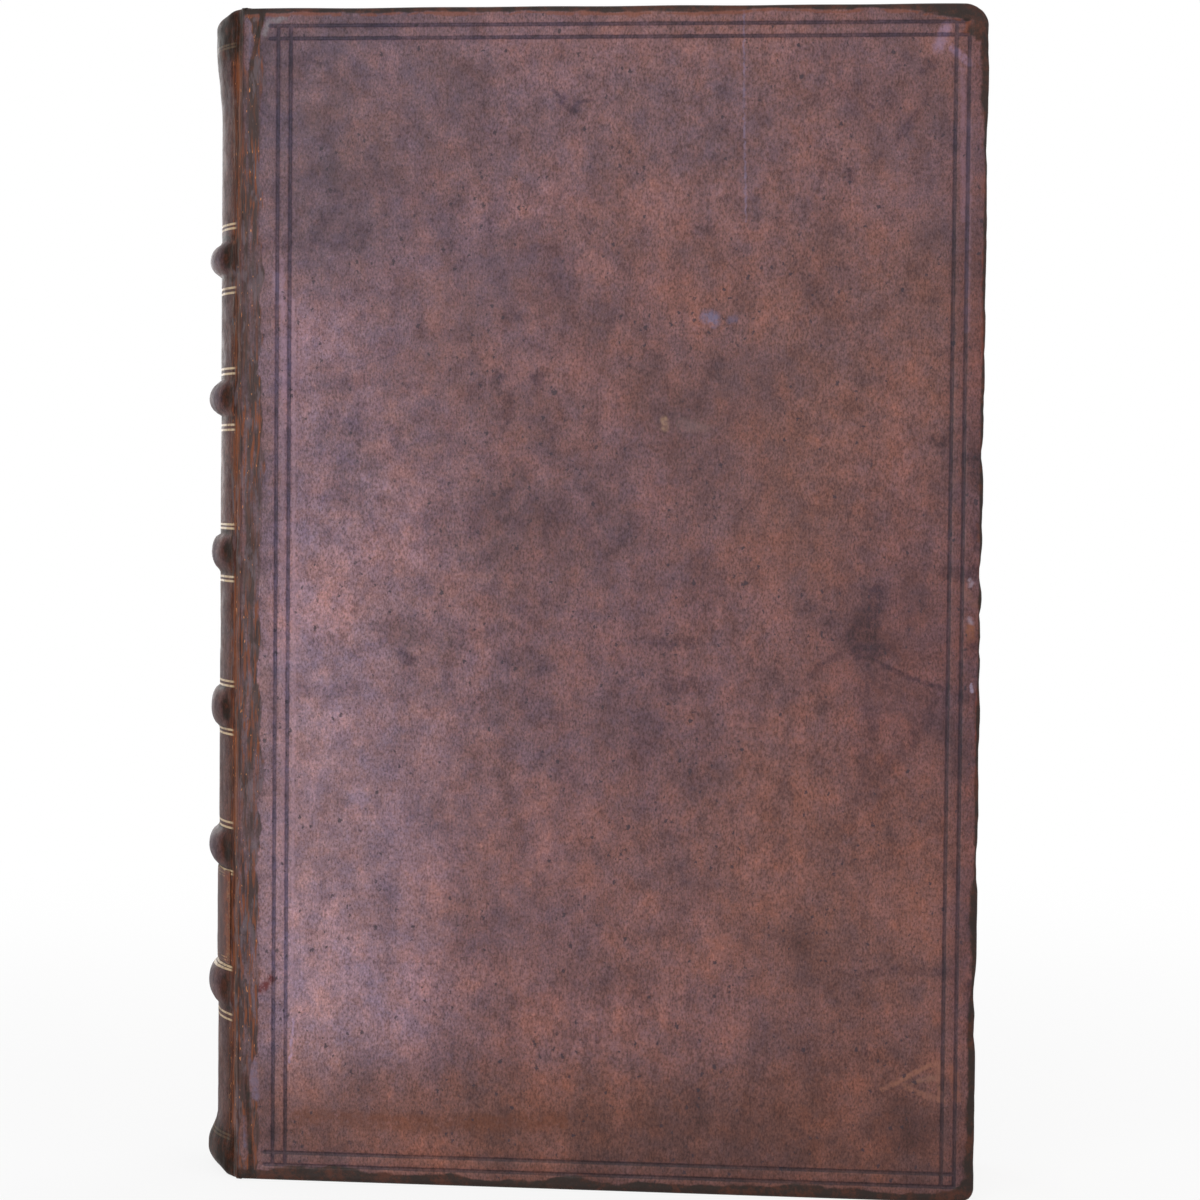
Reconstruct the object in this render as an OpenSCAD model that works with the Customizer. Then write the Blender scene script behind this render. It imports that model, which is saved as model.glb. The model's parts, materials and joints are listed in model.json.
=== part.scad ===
// Antique folio book, sewn on six raised cords and bound in calf over pasteboards.
// It stands on its lower edges: +X towards the fore-edge, -Y out of the front cover.
// All sizes are in millimetres. The origin is the middle of the footprint.

/* [Book] */
// Height of the covers
cover_h = 354; // [320:1:400]
// Width of a cover, from its joint to its fore-edge
cover_w = 222; // [190:1:250]
// Thickness of the closed book over both covers
book_t = 58; // [50:1:68]
// How far the boards stand out past the leaves at head, tail and fore-edge
square_w = 4; // [3:0.5:8]

/* [Covers] */
// Thickness of the pasteboards
board_t = 3.6; // [2.5:0.1:5]
// Thickness of the calf on covers and spine
leather_t = 0.9; // [0.6:0.05:1.2]
// Thickness of the pared leather that is turned in behind a board
turn_in_t = 0.5; // [0.3:0.05:0.8]
// Width of the turned-in leather
turn_in_w = 14; // [8:1:22]
// Rounding of the leather over the edges of a board
edge_round = 1.3; // [0.8:0.1:2]
// Radius of the worn upper corner at the fore-edge
upper_corner_r = 7.5; // [2:0.5:12]
// Radius of the lower corner at the fore-edge
lower_corner_r = 4.5; // [2:0.5:12]
// Distance from the joint to the board's spine edge
joint_w = 1.6; // [1.4:0.1:3]

/* [Tooled frame] */
// Distance of the outer fillet line from the fore-edge
frame_fore = 5.8; // [4:0.1:12]
// Distance of the outer fillet line from the joint
frame_joint = 10.6; // [6:0.1:16]
// Distance of the outer fillet line from the upper edge
frame_upper = 5.5; // [4:0.1:12]
// Distance of the outer fillet line from the lower edge
frame_lower = 4.8; // [4:0.1:12]
// Distance between the two lines of the fillet
fillet_step = 3.8; // [3:0.1:6]
// Width of one line
fillet_w = 1.3; // [0.6:0.1:2]
// Depth of one line
fillet_d = 0.35; // [0.1:0.05:0.5]

/* [Spine] */
// How far the spine stands out behind the joints
spine_rise = 12; // [9:0.5:15]
// Height of the lowest raised band above the lower edge
first_band_z = 57.8; // [45:0.1:70]
// Distance from each band to the next one up
band_steps = [42.2, 43, 47.5, 47, 42.3];
// Width of each band at its foot, from the lowest up
band_widths = [11.9, 10.7, 11.9, 10.4, 9.4, 8.8];
// Height of each band over the leather between them, from the lowest up
band_heights = [3.2, 3.3, 2.8, 3.0, 4.0, 3.7];
// Width of a band's rounded top
band_top_w = 4.6; // [3:0.1:6]
// Angle from the middle of the spine at which the bands have died away
band_fade = 41; // [36:0.5:41]
// How far the upper headcap swells out
upper_cap_out = 1.5; // [0:0.1:3]
// How far the lower headcap swells out
lower_cap_out = 3; // [0:0.1:3.5]
// Height over which a headcap swells
cap_reach = 22; // [10:1:28]
// Thickness of the leather drawn over the endbands
cap_t = 0.7; // [0.4:0.05:1]
// Half angle of the part of a headcap that covers the endband
cap_half_angle = 33; // [20:1:36]
// Thickness of the label's leather
label_t = 0.3; // [0.2:0.05:0.5]
// Half angle of the label
label_half_angle = 37; // [20:1:40]
// Clear strip between the label and the bands beside it
label_margin = 1.2; // [0.5:0.1:5]

/* [Inside] */
// Thickness of an endpaper
paper_t = 0.3; // [0.2:0.05:0.5]
// How far the outer leaves are bent over as shoulders
shoulder_h = 4.5; // [2.5:0.1:5.2]
// Thickness of the paper lining on the spine
lining_t = 0.45; // [0.2:0.05:0.8]
// How far a pastedown stops short of the cover's edges
pastedown_margin = 3.5; // [2:0.5:8]
// Thickness of the kettle stitches
stitch_d = 1.2; // [0.8:0.1:2]
// Distance of the kettle stitches from head and tail of the leaves
stitch_in = 12; // [8:1:20]
// Width of a laced-in cord slip
slip_w = 5; // [3:0.5:8]
// Thickness of a laced-in cord slip
slip_t = 1.2; // [0.6:0.1:1.8]
// Diameter of a lacing hole
lace_d = 4; // [2.5:0.5:5]
// Distance of the lacing holes from the joint
lace_in = 11; // [8:0.5:18]

/* [Fit] */
// Film of glue between curved pieces
glue = 0.05; // [0.02:0.01:0.1]
// Running clearance at the joints
joint_clear = 0.25; // [0.2:0.05:0.4]
// Gap between a closed cover and the leaves
cover_gap = 0.3; // [0.2:0.05:0.6]

/* [Hidden] */
$fn = 96;
eps = 0.01;
far = 500;

n_bands = len(band_widths);
function sum_to(list, n) = n <= 0 ? 0 : list[n - 1] + sum_to(list, n - 1);
function band_z(i) = first_band_z + sum_to(band_steps, i);

// depths through a cover, from its outer face inwards
depth_board = leather_t + board_t;
depth_turn_in = depth_board + turn_in_t;
depth_cover = depth_turn_in + paper_t;

// the leaves
leaves_half = book_t / 2 - depth_cover - cover_gap - paper_t;
shoulder_half = leaves_half + shoulder_h;
leaves_z0 = square_w;
leaves_h = cover_h - 2 * square_w;

// x of the two joints: the tallest band and the fore-edge set the overall width
hinge_x = -(cover_w - spine_rise - max(band_heights)) / 2;
fore_x = hinge_x + cover_w;
hinge_y = book_t / 2 - leather_t / 2;

// the arc of the spine leather: its middle passes through both joints
arc_rise = spine_rise - leather_t / 2;
arc_r = (hinge_y * hinge_y + arc_rise * arc_rise) / (2 * arc_rise);
spine_x = hinge_x - arc_rise + arc_r;
joint_angle = asin(hinge_y / arc_r);
skin_r = arc_r + leather_t / 2;
under_r = arc_r - leather_t / 2;
leaves_r = under_r - lining_t - 2 * glue;
lining_half_angle = joint_angle - 3;

// board edge, shoulder and fore-edge of the leaves
shoulder_x = hinge_x + joint_w - 2 * paper_t;
leaves_fore_x = fore_x - square_w;
fore_arc_x = leaves_fore_x + sqrt(leaves_r * leaves_r - leaves_half * leaves_half);

// endbands fill the squares behind the headcaps
endband_r = (square_w - cap_t - 2 * glue) / 2;
endband_at = leaves_r - endband_r - 0.6;

// angle by which each moulded crescent runs on under the skin past the place where it dies away
fade_over = 1.2;

// roll of the spine leather at its two ends
cap_round = 3.2;
cap_round_h = 5.5;

// A sector about a vertical axis on the spine's arc, moved off its centre towards the spine by shift
module sector(half_angle, shift = 0) {
    translate([spine_x - shift, 0, 0])
        rotate([0, 0, 180 - half_angle])
            rotate_extrude(angle = 2 * half_angle) children();
}

// A box given by its two corners
module block(low, high) {
    translate(low) cube(high - low);
}

// Puts a cover drawn from its joint (x), its outer face (y) and its lower edge (z) on the front or rear
module on_front() { translate([hinge_x, -book_t / 2, 0]) children(); }
module on_rear() { mirror([0, 1, 0]) on_front() children(); }

// A rectangle whose two corners on the right have their own radii
module worn_rectangle(low, high, lower_r, upper_r) {
    difference() {
        translate(low) square(high - low);
        translate([high[0] - lower_r, low[1] - eps]) square([lower_r + eps, lower_r + eps]);
        translate([high[0] - upper_r, high[1] - upper_r]) square([upper_r + eps, upper_r + eps]);
    }
    intersection() {
        translate(low) square(high - low);
        union() {
            translate([high[0] - lower_r, low[1] + lower_r]) circle(lower_r);
            translate([high[0] - upper_r, high[1] - upper_r]) circle(upper_r);
        }
    }
}

// A flat slab with its edges rounded over at head, tail and fore-edge
module slab(x0, inset, depth0, depth1, rounding) {
    high_x = cover_w - inset;
    low_z = inset;
    high_z = cover_h - inset;
    intersection() {
        translate([0, depth1, 0]) rotate([90, 0, 0]) linear_extrude(depth1 - depth0)
            worn_rectangle([x0, low_z], [high_x, high_z], lower_corner_r - inset, upper_corner_r - inset);
        translate([x0 - 1, 0, 0]) rotate([90, 0, 90]) linear_extrude(cover_w + 2)
            round_ends([depth0, low_z], [depth1, high_z], rounding, true);
        translate([0, 0, -1]) linear_extrude(cover_h + 2)
            round_ends([x0, depth0], [high_x, depth1], rounding, false);
    }
}

// A strip with both ends rounded (along its height) or only its right end
module round_ends(low, high, r, both) {
    if (both) {
        translate([low[0], low[1] + r]) square([high[0] - low[0], high[1] - low[1] - 2 * r]);
        translate([low[0] + r, low[1]]) square([high[0] - low[0] - 2 * r, high[1] - low[1]]);
        for (x = [low[0] + r, high[0] - r], y = [low[1] + r, high[1] - r]) translate([x, y]) circle(r);
    } else {
        translate(low) square([high[0] - low[0] - r, high[1] - low[1]]);
        translate([low[0], low[1] + r]) square([high[0] - low[0], high[1] - low[1] - 2 * r]);
        for (y = [low[1] + r, high[1] - r]) translate([high[0] - r, y]) circle(r);
    }
}

// Covers

module cover_leather() {
    roll_r = leather_t / 2;
    difference() {
        union() {
            slab(0, 0, 0, depth_turn_in, edge_round);
            translate([0, roll_r, edge_round]) cylinder(r = roll_r, h = cover_h - 2 * edge_round);
        }
        slab(joint_w, leather_t, leather_t, depth_board, edge_round - leather_t / 2);
        // behind the joint only the outer sheet is left
        block([-far, leather_t, -far], [joint_w, far, far]);
        // the open middle, inside the turned-in leather
        block([-far, depth_board - eps, turn_in_w], [cover_w - turn_in_w, far, cover_h - turn_in_w]);
        fillet_frame();
    }
}

// Blind-tooled frame: two lines along each side, sunk in the outer face and crossing at the corners
module fillet_frame() {
    left = frame_joint;
    right = cover_w - frame_fore;
    low = frame_lower;
    high = cover_h - frame_upper;
    for (k = [0, 1]) {
        step = k * fillet_step;
        for (x = [left + step, right - step]) fillet_line([x, 0, low], high - low, [0, 0, 0]);
        for (z = [low + step, high - step]) fillet_line([left, 0, z], right - left, [0, 90, 0]);
    }
}

module fillet_line(start, length, turn) {
    half = fillet_w / 2;
    translate(start) rotate(turn) linear_extrude(length)
        polygon([[-half, -1], [half, -1], [half, 0], [0, fillet_d], [-half, 0]]);
}

// One cord end on the board's outer face, drawn down through a hole to its inner face
// With a clearance it is the channel and hole that are cut in the board
module lacing(i, clear) {
    half = slip_w / 2 + clear;
    over = clear > 0 ? 1 : 0;
    floor_y = leather_t + slip_t + clear;
    z = band_z(i);
    block([joint_w - over, leather_t - over, z - half], [lace_in, floor_y, z + half]);
    translate([lace_in, floor_y, z])
        rotate([90, 0, 0]) cylinder(r = half, h = slip_t + clear + over);
    translate([lace_in, depth_board + over, z])
        rotate([90, 0, 0]) cylinder(d = lace_d + 2 * clear, h = board_t + 2 * over);
}

module board() {
    difference() {
        slab(joint_w, leather_t, leather_t, depth_board, edge_round - leather_t / 2);
        for (i = [0:n_bands - 1]) lacing(i, glue);
    }
}

// The pastedown lies on the board and steps up over the turned-in leather
module pastedown() {
    m = pastedown_margin;
    step = turn_in_w + paper_t;
    difference() {
        block([joint_w, depth_board, m], [cover_w - m, depth_cover, cover_h - m]);
        block([-far, depth_board + paper_t, step], [cover_w - step, far, cover_h - step]);
        block([-far, -far, -far], [far, depth_turn_in, turn_in_w]);
        block([-far, -far, cover_h - turn_in_w], [far, depth_turn_in, far]);
        block([cover_w - turn_in_w, -far, -far], [far, depth_turn_in, far]);
    }
}

// Leaves and endpapers

module text_block() {
    difference() {
        translate([0, 0, leaves_z0]) linear_extrude(leaves_h) difference() {
            union() {
                intersection() {
                    translate([spine_x, 0]) circle(leaves_r, $fn = 180);
                    translate([shoulder_x - far, -shoulder_half]) square([far, 2 * shoulder_half]);
                }
                translate([shoulder_x - eps, -leaves_half])
                    square([leaves_fore_x - shoulder_x + eps, 2 * leaves_half]);
            }
            translate([fore_arc_x, 0]) circle(leaves_r, $fn = 180);
        }
        for (z = stitch_heights) kettle_stitch(z, stitch_d / 2 + glue, lining_half_angle + 1);
    }
}

stitch_heights = [leaves_z0 + stitch_in, leaves_z0 + leaves_h - stitch_in];

module kettle_stitch(z, r, half_angle) {
    sector(half_angle) translate([leaves_r - (stitch_d - glue) / 2, z]) circle(r, $fn = 24);
}

// A flyleaf covers the outer leaf and runs up the shoulder behind the joint
module flyleaf() {
    outer = -leaves_half - paper_t;
    block([shoulder_x, outer, leaves_z0], [leaves_fore_x, -leaves_half, leaves_z0 + leaves_h]);
    block([shoulder_x, -shoulder_half, leaves_z0], [shoulder_x + paper_t, outer + eps, leaves_z0 + leaves_h]);
}

// Spine

function band_shift(h) =
    // centre of the circle through the band's crown and the points where it dies away
    let (crown = skin_r + h, fx = skin_r * cos(band_fade), fy = skin_r * sin(band_fade))
    (crown * crown - fx * fx - fy * fy) / (2 * (crown - fx));

// Half angle of such a crescent about its own centre, run on a little under the skin
function fade_sweep(shift) = atan2(skin_r * sin(band_fade), skin_r * cos(band_fade) - shift)
    + fade_over;

// Height of a moulded rise at distance d from its middle line
function swell(d, half_top, half_foot) =
    d <= half_top ? 1 : d >= half_foot ? 0 : (1 + cos(180 * (d - half_top) / (half_foot - half_top))) / 2;

function cord_d(i) = band_heights[i] + lining_t;
function cord_path_r(i) = leaves_r + glue + cord_d(i) / 2 - band_shift(band_heights[i]);

// A raised band: a crescent that is tallest on the back of the spine and dies away at the joints
module band(i) {
    h = band_heights[i];
    shift = band_shift(h);
    foot_r = skin_r - shift;
    half = band_widths[i] / 2;
    steps = 12;
    sector(fade_sweep(shift), shift) translate([foot_r, band_z(i)]) polygon(concat(
        [[-leather_t / 2, half], [-leather_t / 2, -half]],
        [for (k = [0:steps]) let (z = -half + 2 * half * k / steps) [h * swell(abs(z), band_top_w / 2, half), z]]
    ));
}

// The room that a cord fills under the leather
module cord_room(i, clear) {
    sector(joint_angle + 8 + 4 * clear, band_shift(band_heights[i]))
        translate([cord_path_r(i), band_z(i)]) circle(cord_d(i) / 2 + clear, $fn = 48);
}

// A headcap's swelling at the lower end: it rolls in at the edge and dies away further up
module cap_swell(out) {
    shift = band_shift(out);
    foot_r = skin_r - shift;
    inner_r = foot_r - cap_round;
    sector(fade_sweep(shift), shift) polygon(concat(
        quarter(inner_r, cap_round_h, out + cap_round, cap_round_h),
        [for (s = [0.1:0.1:1.001])
            [foot_r + out * (1 + cos(180 * s)) / 2, cap_round_h + (cap_reach - cap_round_h) * s]],
        [[foot_r - leather_t / 2, cap_reach], [foot_r - leather_t / 2, cap_round_h]]
    ));
}

// Points of a quarter ellipse about (x, y), from straight below it to straight right of it
function quarter(x, y, rx, ry) = [for (a = [0:9:90]) [x + rx * sin(a), y - ry * cos(a)]];

// Outline of the spine leather in the middle of the spine, in from inner_r to its outer face
module skin_profile(inner_r, top) {
    intersection() {
        translate([inner_r, 0]) square([skin_r - inner_r, top]);
        polygon(concat([[0, 0]], quarter(skin_r - cap_round, cap_round, cap_round, cap_round),
            [[skin_r, cover_h]], [[0, cover_h]]));
    }
}

// One end of the spine leather, turned in over the endband
module spine_end(out) {
    if (out > 0) cap_swell(out);
    sector(cap_half_angle) skin_profile(endband_at, cap_round);
    sector(joint_angle) skin_profile(under_r - eps, cover_h / 2 + eps);
}

// The hollow that the leaves, linings and endbands fill
module spine_hollow() {
    lower = quarter(skin_r - cap_round, cap_round, cap_round - leather_t, cap_round - cap_t);
    upper = [for (i = [len(lower) - 1:-1:0]) [lower[i][0], cover_h - lower[i][1]]];
    translate([spine_x, 0, 0]) rotate_extrude($fn = 180)
        polygon(concat([[0, cap_t]], lower, upper, [[0, cover_h - cap_t]]));
}

module spine_leather() {
    difference() {
        intersection() {
            union() {
                for (i = [0:n_bands - 1]) band(i);
                spine_end(lower_cap_out);
                translate([0, 0, cover_h]) mirror([0, 0, 1]) spine_end(upper_cap_out);
            }
            block([-far, -far, 0], [hinge_x + joint_clear, far, cover_h]);
        }
        spine_hollow();
        for (i = [0:n_bands - 1]) cord_room(i, glue);
        for (side = [0, 1]) mirror([0, side, 0]) joint_relief();
    }
}

// Room for the cover's rolled edge, and a bevel so that the cover can lie back flat
module joint_relief() {
    reach = leather_t / 2 + joint_clear;
    translate([hinge_x, -hinge_y, -1]) cylinder(r = reach, h = cover_h + 2);
    block([hinge_x - 3 * reach, -far, -1], [far, -hinge_y + reach, cover_h + 1]);
}

module sewing_cord(i) {
    difference() {
        cord_room(i, 0);
        translate([spine_x, 0, -1]) cylinder(r = leaves_r + glue, h = cover_h + 2, $fn = 180);
    }
}

// A lining fills the compartment between two bands
module spine_lining(i) {
    low = i == 0 ? leaves_z0 : band_z(i - 1) + cord_d(i - 1) / 2 + glue;
    high = i == n_bands ? leaves_z0 + leaves_h : band_z(i) - cord_d(i) / 2 - glue;
    sector(lining_half_angle) translate([leaves_r + glue, low]) square([lining_t, high - low]);
}

module endband(z) {
    sector(cap_half_angle) translate([endband_at, z]) circle(endband_r, $fn = 32);
}

module spine_label() {
    low = band_z(0) + band_widths[0] / 2 + label_margin;
    high = band_z(1) - band_widths[1] / 2 - label_margin;
    sector(label_half_angle) translate([skin_r + glue, low]) square([label_t, high - low]);
}

calf = [0.45, 0.30, 0.27];
dark_calf = [0.26, 0.12, 0.08];
paper = [0.87, 0.80, 0.66];
hemp = [0.72, 0.62, 0.45];
pulp = [0.55, 0.47, 0.36];

color(paper) text_block();
color(paper) flyleaf();  // front_flyleaf
color(paper) mirror([0, 1, 0]) flyleaf();  // rear_flyleaf
color(calf) spine_leather();
color(dark_calf) spine_label();
color(hemp) endband(leaves_z0 + leaves_h + endband_r + glue);  // upper_endband
color(hemp) endband(leaves_z0 - endband_r - glue);  // lower_endband
color(hemp) kettle_stitch(stitch_heights[1], stitch_d / 2, lining_half_angle);  // upper_kettle_stitch
color(hemp) kettle_stitch(stitch_heights[0], stitch_d / 2, lining_half_angle);  // lower_kettle_stitch
for (i = [0:n_bands - 1])
    color(hemp) sewing_cord(i);
for (i = [0:n_bands])
    color(paper) spine_lining(i);

color(calf) on_front() cover_leather();  // front_cover_leather
color(pulp) on_front() board();  // front_board
color(paper) on_front() pastedown();  // front_pastedown
color(calf) on_rear() cover_leather();  // rear_cover_leather
color(pulp) on_rear() board();  // rear_board
color(paper) on_rear() pastedown();  // rear_pastedown
for (i = [0:n_bands - 1]) {
    color(hemp) on_front() lacing(i, 0);
    color(hemp) on_rear() lacing(i, 0);
}
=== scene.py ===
"""The looks of an antique calf folio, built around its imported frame.

Lengths and places are in millimetres until a mesh is made. A place on a cover is given by its distance from
the joint, its height and its depth under the highest point of the outer face.
"""

import json
import math

import bpy
import numpy as np
from mathutils import Matrix, Vector


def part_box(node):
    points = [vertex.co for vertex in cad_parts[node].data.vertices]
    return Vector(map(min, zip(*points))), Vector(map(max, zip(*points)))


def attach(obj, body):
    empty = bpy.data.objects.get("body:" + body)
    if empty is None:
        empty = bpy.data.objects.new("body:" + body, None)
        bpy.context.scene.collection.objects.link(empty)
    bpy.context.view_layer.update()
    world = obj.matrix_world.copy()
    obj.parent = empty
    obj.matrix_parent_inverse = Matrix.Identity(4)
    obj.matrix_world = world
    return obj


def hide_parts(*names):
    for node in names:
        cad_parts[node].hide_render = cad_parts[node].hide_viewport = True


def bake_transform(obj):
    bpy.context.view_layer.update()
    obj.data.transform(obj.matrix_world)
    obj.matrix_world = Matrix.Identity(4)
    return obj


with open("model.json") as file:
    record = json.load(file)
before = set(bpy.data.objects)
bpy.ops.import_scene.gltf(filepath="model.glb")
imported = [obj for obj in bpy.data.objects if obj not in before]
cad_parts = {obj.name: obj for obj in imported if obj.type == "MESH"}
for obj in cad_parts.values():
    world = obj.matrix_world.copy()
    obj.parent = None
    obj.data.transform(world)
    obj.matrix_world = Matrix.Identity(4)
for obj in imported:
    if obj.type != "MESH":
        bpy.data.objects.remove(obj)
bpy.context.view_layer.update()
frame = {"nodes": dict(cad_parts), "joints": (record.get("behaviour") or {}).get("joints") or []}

MM = 0.001


def box_mm(node):
    """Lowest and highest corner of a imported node, in millimetres."""
    low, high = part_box(node)
    return np.array(low) / MM, np.array(high) / MM


# The sides of the book along Y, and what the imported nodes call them

SIDES = ((-1, "front"), (1, "rear"))

# Sizes read from the frame

HINGE = frame["joints"][0]["pos_m"]
HINGE_X = HINGE[0] / MM
HINGE_Y = abs(HINGE[1]) / MM
COVER_LOW, COVER_HIGH = box_mm("front_cover_leather")
HALF = -COVER_LOW[1]
HEIGHT = COVER_HIGH[2]
WIDTH = COVER_HIGH[0] - HINGE_X
COVER_DEPTH = COVER_HIGH[1] - COVER_LOW[1]
LEATHER = 2 * (HALF - HINGE_Y)
LEAVES_LOW, LEAVES_HIGH = box_mm("text_block")
LEAVES_HALF = -box_mm("front_flyleaf")[1][1]
SHOULDER_X = box_mm("front_flyleaf")[0][0]
PASTE_BED = HALF + box_mm("front_pastedown")[0][1]
PAPER = HALF + box_mm("front_pastedown")[1][1] - COVER_DEPTH
BOARD_EDGE = box_mm("front_board")[0][0] - HINGE_X
BAND_COUNT = 6

# The arc of the spine leather: how far it stands out behind the joints, the glue, its middle and radii

SPINE_RISE = 12.0
GLUE = 0.05
ARC_RISE = SPINE_RISE - LEATHER / 2
ARC_R = (HINGE_Y ** 2 + ARC_RISE ** 2) / (2 * ARC_RISE)
SPINE_X = HINGE_X - ARC_RISE + ARC_R
SKIN_R = ARC_R + LEATHER / 2
JOINT_ANGLE = math.asin(HINGE_Y / ARC_R)

# Width of the raised bands at the foot, from the lowest up

BAND_WIDTHS = [11.9, 10.7, 11.9, 10.4, 9.4, 8.8]


def read_bands():
    """Height of the middle, rise over the skin and width of each band, from the cord under it."""
    found = []
    for i in range(BAND_COUNT):
        low, high = box_mm(f"sewing_cord_{i + 1}")
        crown = SPINE_X - (low[0] - GLUE - LEATHER)
        found.append(((low[2] + high[2]) / 2, crown - SKIN_R, BAND_WIDTHS[i]))
    return found


BANDS = read_bands()

# Heights of the gilt lines across the spine, in pairs; the last ones at the ends are all but rubbed off

GILT_LINES = [48.0, 49.7, 63.3, 64.2, 92.6, 93.5, 106.7, 108.3, 135.2, 136.6, 149.9, 151.3,
              181.8, 183.1, 197.8, 199.0, 227.7, 229.2, 244.7, 246.3, 269.1, 270.6, 288.5, 289.8,
              342.9, 343.8, 11.5, 12.6]

# Rounding of the covers' edges and corners, and how far the leather is turned in

EDGE = 1.3
UPPER_CORNER = 7.5
LOWER_CORNER = 4.5
TURN_IN = 14.0

# The tooled frame: distances of its outer lines from the edges, step to the inner ones, section of a line

FRAME_FORE = 5.8
FRAME_JOINT = 10.6
FRAME_UPPER = 5.5
FRAME_LOWER = 4.8
FILLET_STEP = 3.8
FILLET_HALF = 0.75
LINE_OVERRUN = 2.6
FILLET_DEPTH = 0.32

# Depth of the plain face and the most that any place may have, thickness of the drawn leather

FACE_REST = 0.30
FACE_LIMIT = 0.85
SKIN_T = 0.45
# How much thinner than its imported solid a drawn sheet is
SHEET_SLACK = 0.08

# The leather sheet between spine and cover: from this far on the spine to this far on the cover

STRIP_SPINE = 2.2
STRIP_COVER = BOARD_EDGE
# How far behind the joint its leather starts to look like the cover's
STRIP_BEHIND = 1.6

# Camera, as worked out from the photograph

PHOTO_SIZE = 1200
FOCAL_PX = 3018.84
CAMERA_YAW = 5.98838
CAMERA_PITCH = 2.17506
CAMERA_ROLL = 0.53996
CAMERA_AWAY = 900.0
CAMERA_AIM = (6.06, -29.0, 177.75)
SENSOR = 36.0


def camera_axes():
    """Right, up and backward directions of the camera, and its place."""
    yaw, pitch, roll = (math.radians(a) for a in (CAMERA_YAW, CAMERA_PITCH, CAMERA_ROLL))
    back = Vector((math.sin(yaw) * math.cos(pitch), -math.cos(yaw) * math.cos(pitch), math.sin(pitch)))
    level = (-back).cross(Vector((0, 0, 1))).normalized()
    upward = level.cross(-back)
    right = level * math.cos(roll) + upward * math.sin(roll)
    up = upward * math.cos(roll) - level * math.sin(roll)
    return right, up, back, Vector(CAMERA_AIM) + back * CAMERA_AWAY


RIGHT, UP, BACK, EYE = camera_axes()


def make_camera():
    """The camera that took the photograph."""
    data = bpy.data.cameras.new("camera")
    data.sensor_width = SENSOR
    data.lens = FOCAL_PX * SENSOR / PHOTO_SIZE
    data.clip_start = 0.01
    data.clip_end = 50
    camera = bpy.data.objects.new("camera", data)
    place = Matrix((RIGHT, UP, BACK)).transposed().to_4x4()
    place.translation = EYE * MM
    camera.matrix_world = place
    bpy.context.scene.collection.objects.link(camera)
    bpy.context.scene.camera = camera


def on_cover(px, py):
    """What a pixel of the photograph shows on the front cover: distance from the joint, and height."""
    half = PHOTO_SIZE / 2
    ray = RIGHT * (px - half) - UP * (py - half) - BACK * FOCAL_PX
    hit = EYE + ray * ((-HALF - EYE.y) / ray.y)
    return hit.x - HINGE_X, hit.z


# Small tools for arrays and meshes

def ripple(points, wavelength, seed, count=14):
    """A smooth irregular field, mostly between -1 and 1, made of plane waves."""
    rng = np.random.default_rng(seed)
    total = np.zeros(points.shape[:-1])
    for _ in range(count):
        direction = rng.normal(size=3)
        direction /= np.linalg.norm(direction)
        length = wavelength * rng.uniform(0.6, 1.6)
        total += np.sin(points @ direction * (2 * math.pi / length) + rng.uniform(0, 2 * math.pi))
    return total / math.sqrt(count / 1.4)


def smooth(value, low, high):
    """0 below low, 1 above high and an S-curve between; low may be the larger one."""
    t = np.clip((value - low) / (high - low), 0, 1)
    return t * t * (3 - 2 * t)


def spot(x, y, z):
    """Places from three coordinates, any of which may be one number for all."""
    return np.stack(np.broadcast_arrays(x, y, z), -1)


def bell(distance, half):
    """1 at no distance, about a third at the given half width."""
    return np.exp(-(distance / half) ** 2)


def spaced(start, stop, step, extra=()):
    """Stops from start to stop about one step apart, with every extra stop kept."""
    count = max(1, round((stop - start) / step))
    kept = sorted({round(e, 4) for e in extra if start + 0.05 < e < stop - 0.05})
    even = [start + (stop - start) * i / count for i in range(1, count)]
    free = [v for v in even if all(abs(v - e) > 0.45 * step for e in kept)]
    return np.array(sorted([start, stop] + kept + free))


def along_path(a, z, path):
    """Distance to a broken line of (a, z) places, and how far along it the nearest place lies, 0 to 1."""
    best = np.full(a.shape, 1e9)
    share = np.zeros(a.shape)
    lengths = [math.dist(path[i], path[i + 1]) for i in range(len(path) - 1)]
    done = 0.0
    for (a0, z0), (a1, z1), length in zip(path[:-1], path[1:], lengths):
        t = np.clip(((a - a0) * (a1 - a0) + (z - z0) * (z1 - z0)) / length ** 2, 0, 1)
        distance = np.hypot(a - a0 - t * (a1 - a0), z - z0 - t * (z1 - z0))
        nearer = distance < best
        best = np.where(nearer, distance, best)
        share = np.where(nearer, (done + t * length) / sum(lengths), share)
        done += length
    return best, share


def along_pixels(a, z, pixels):
    """The same for a broken line that is given by pixels of the photograph."""
    return along_path(a, z, [on_cover(*p) for p in pixels])


def quads(index, flip=False):
    """The four-sided faces of a grid of vertex numbers."""
    a, b, c, d = index[:-1, :-1], index[1:, :-1], index[1:, 1:], index[:-1, 1:]
    faces = np.stack([a, d, c, b] if flip else [a, b, c, d], -1)
    return faces.reshape(-1, 4)


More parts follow.
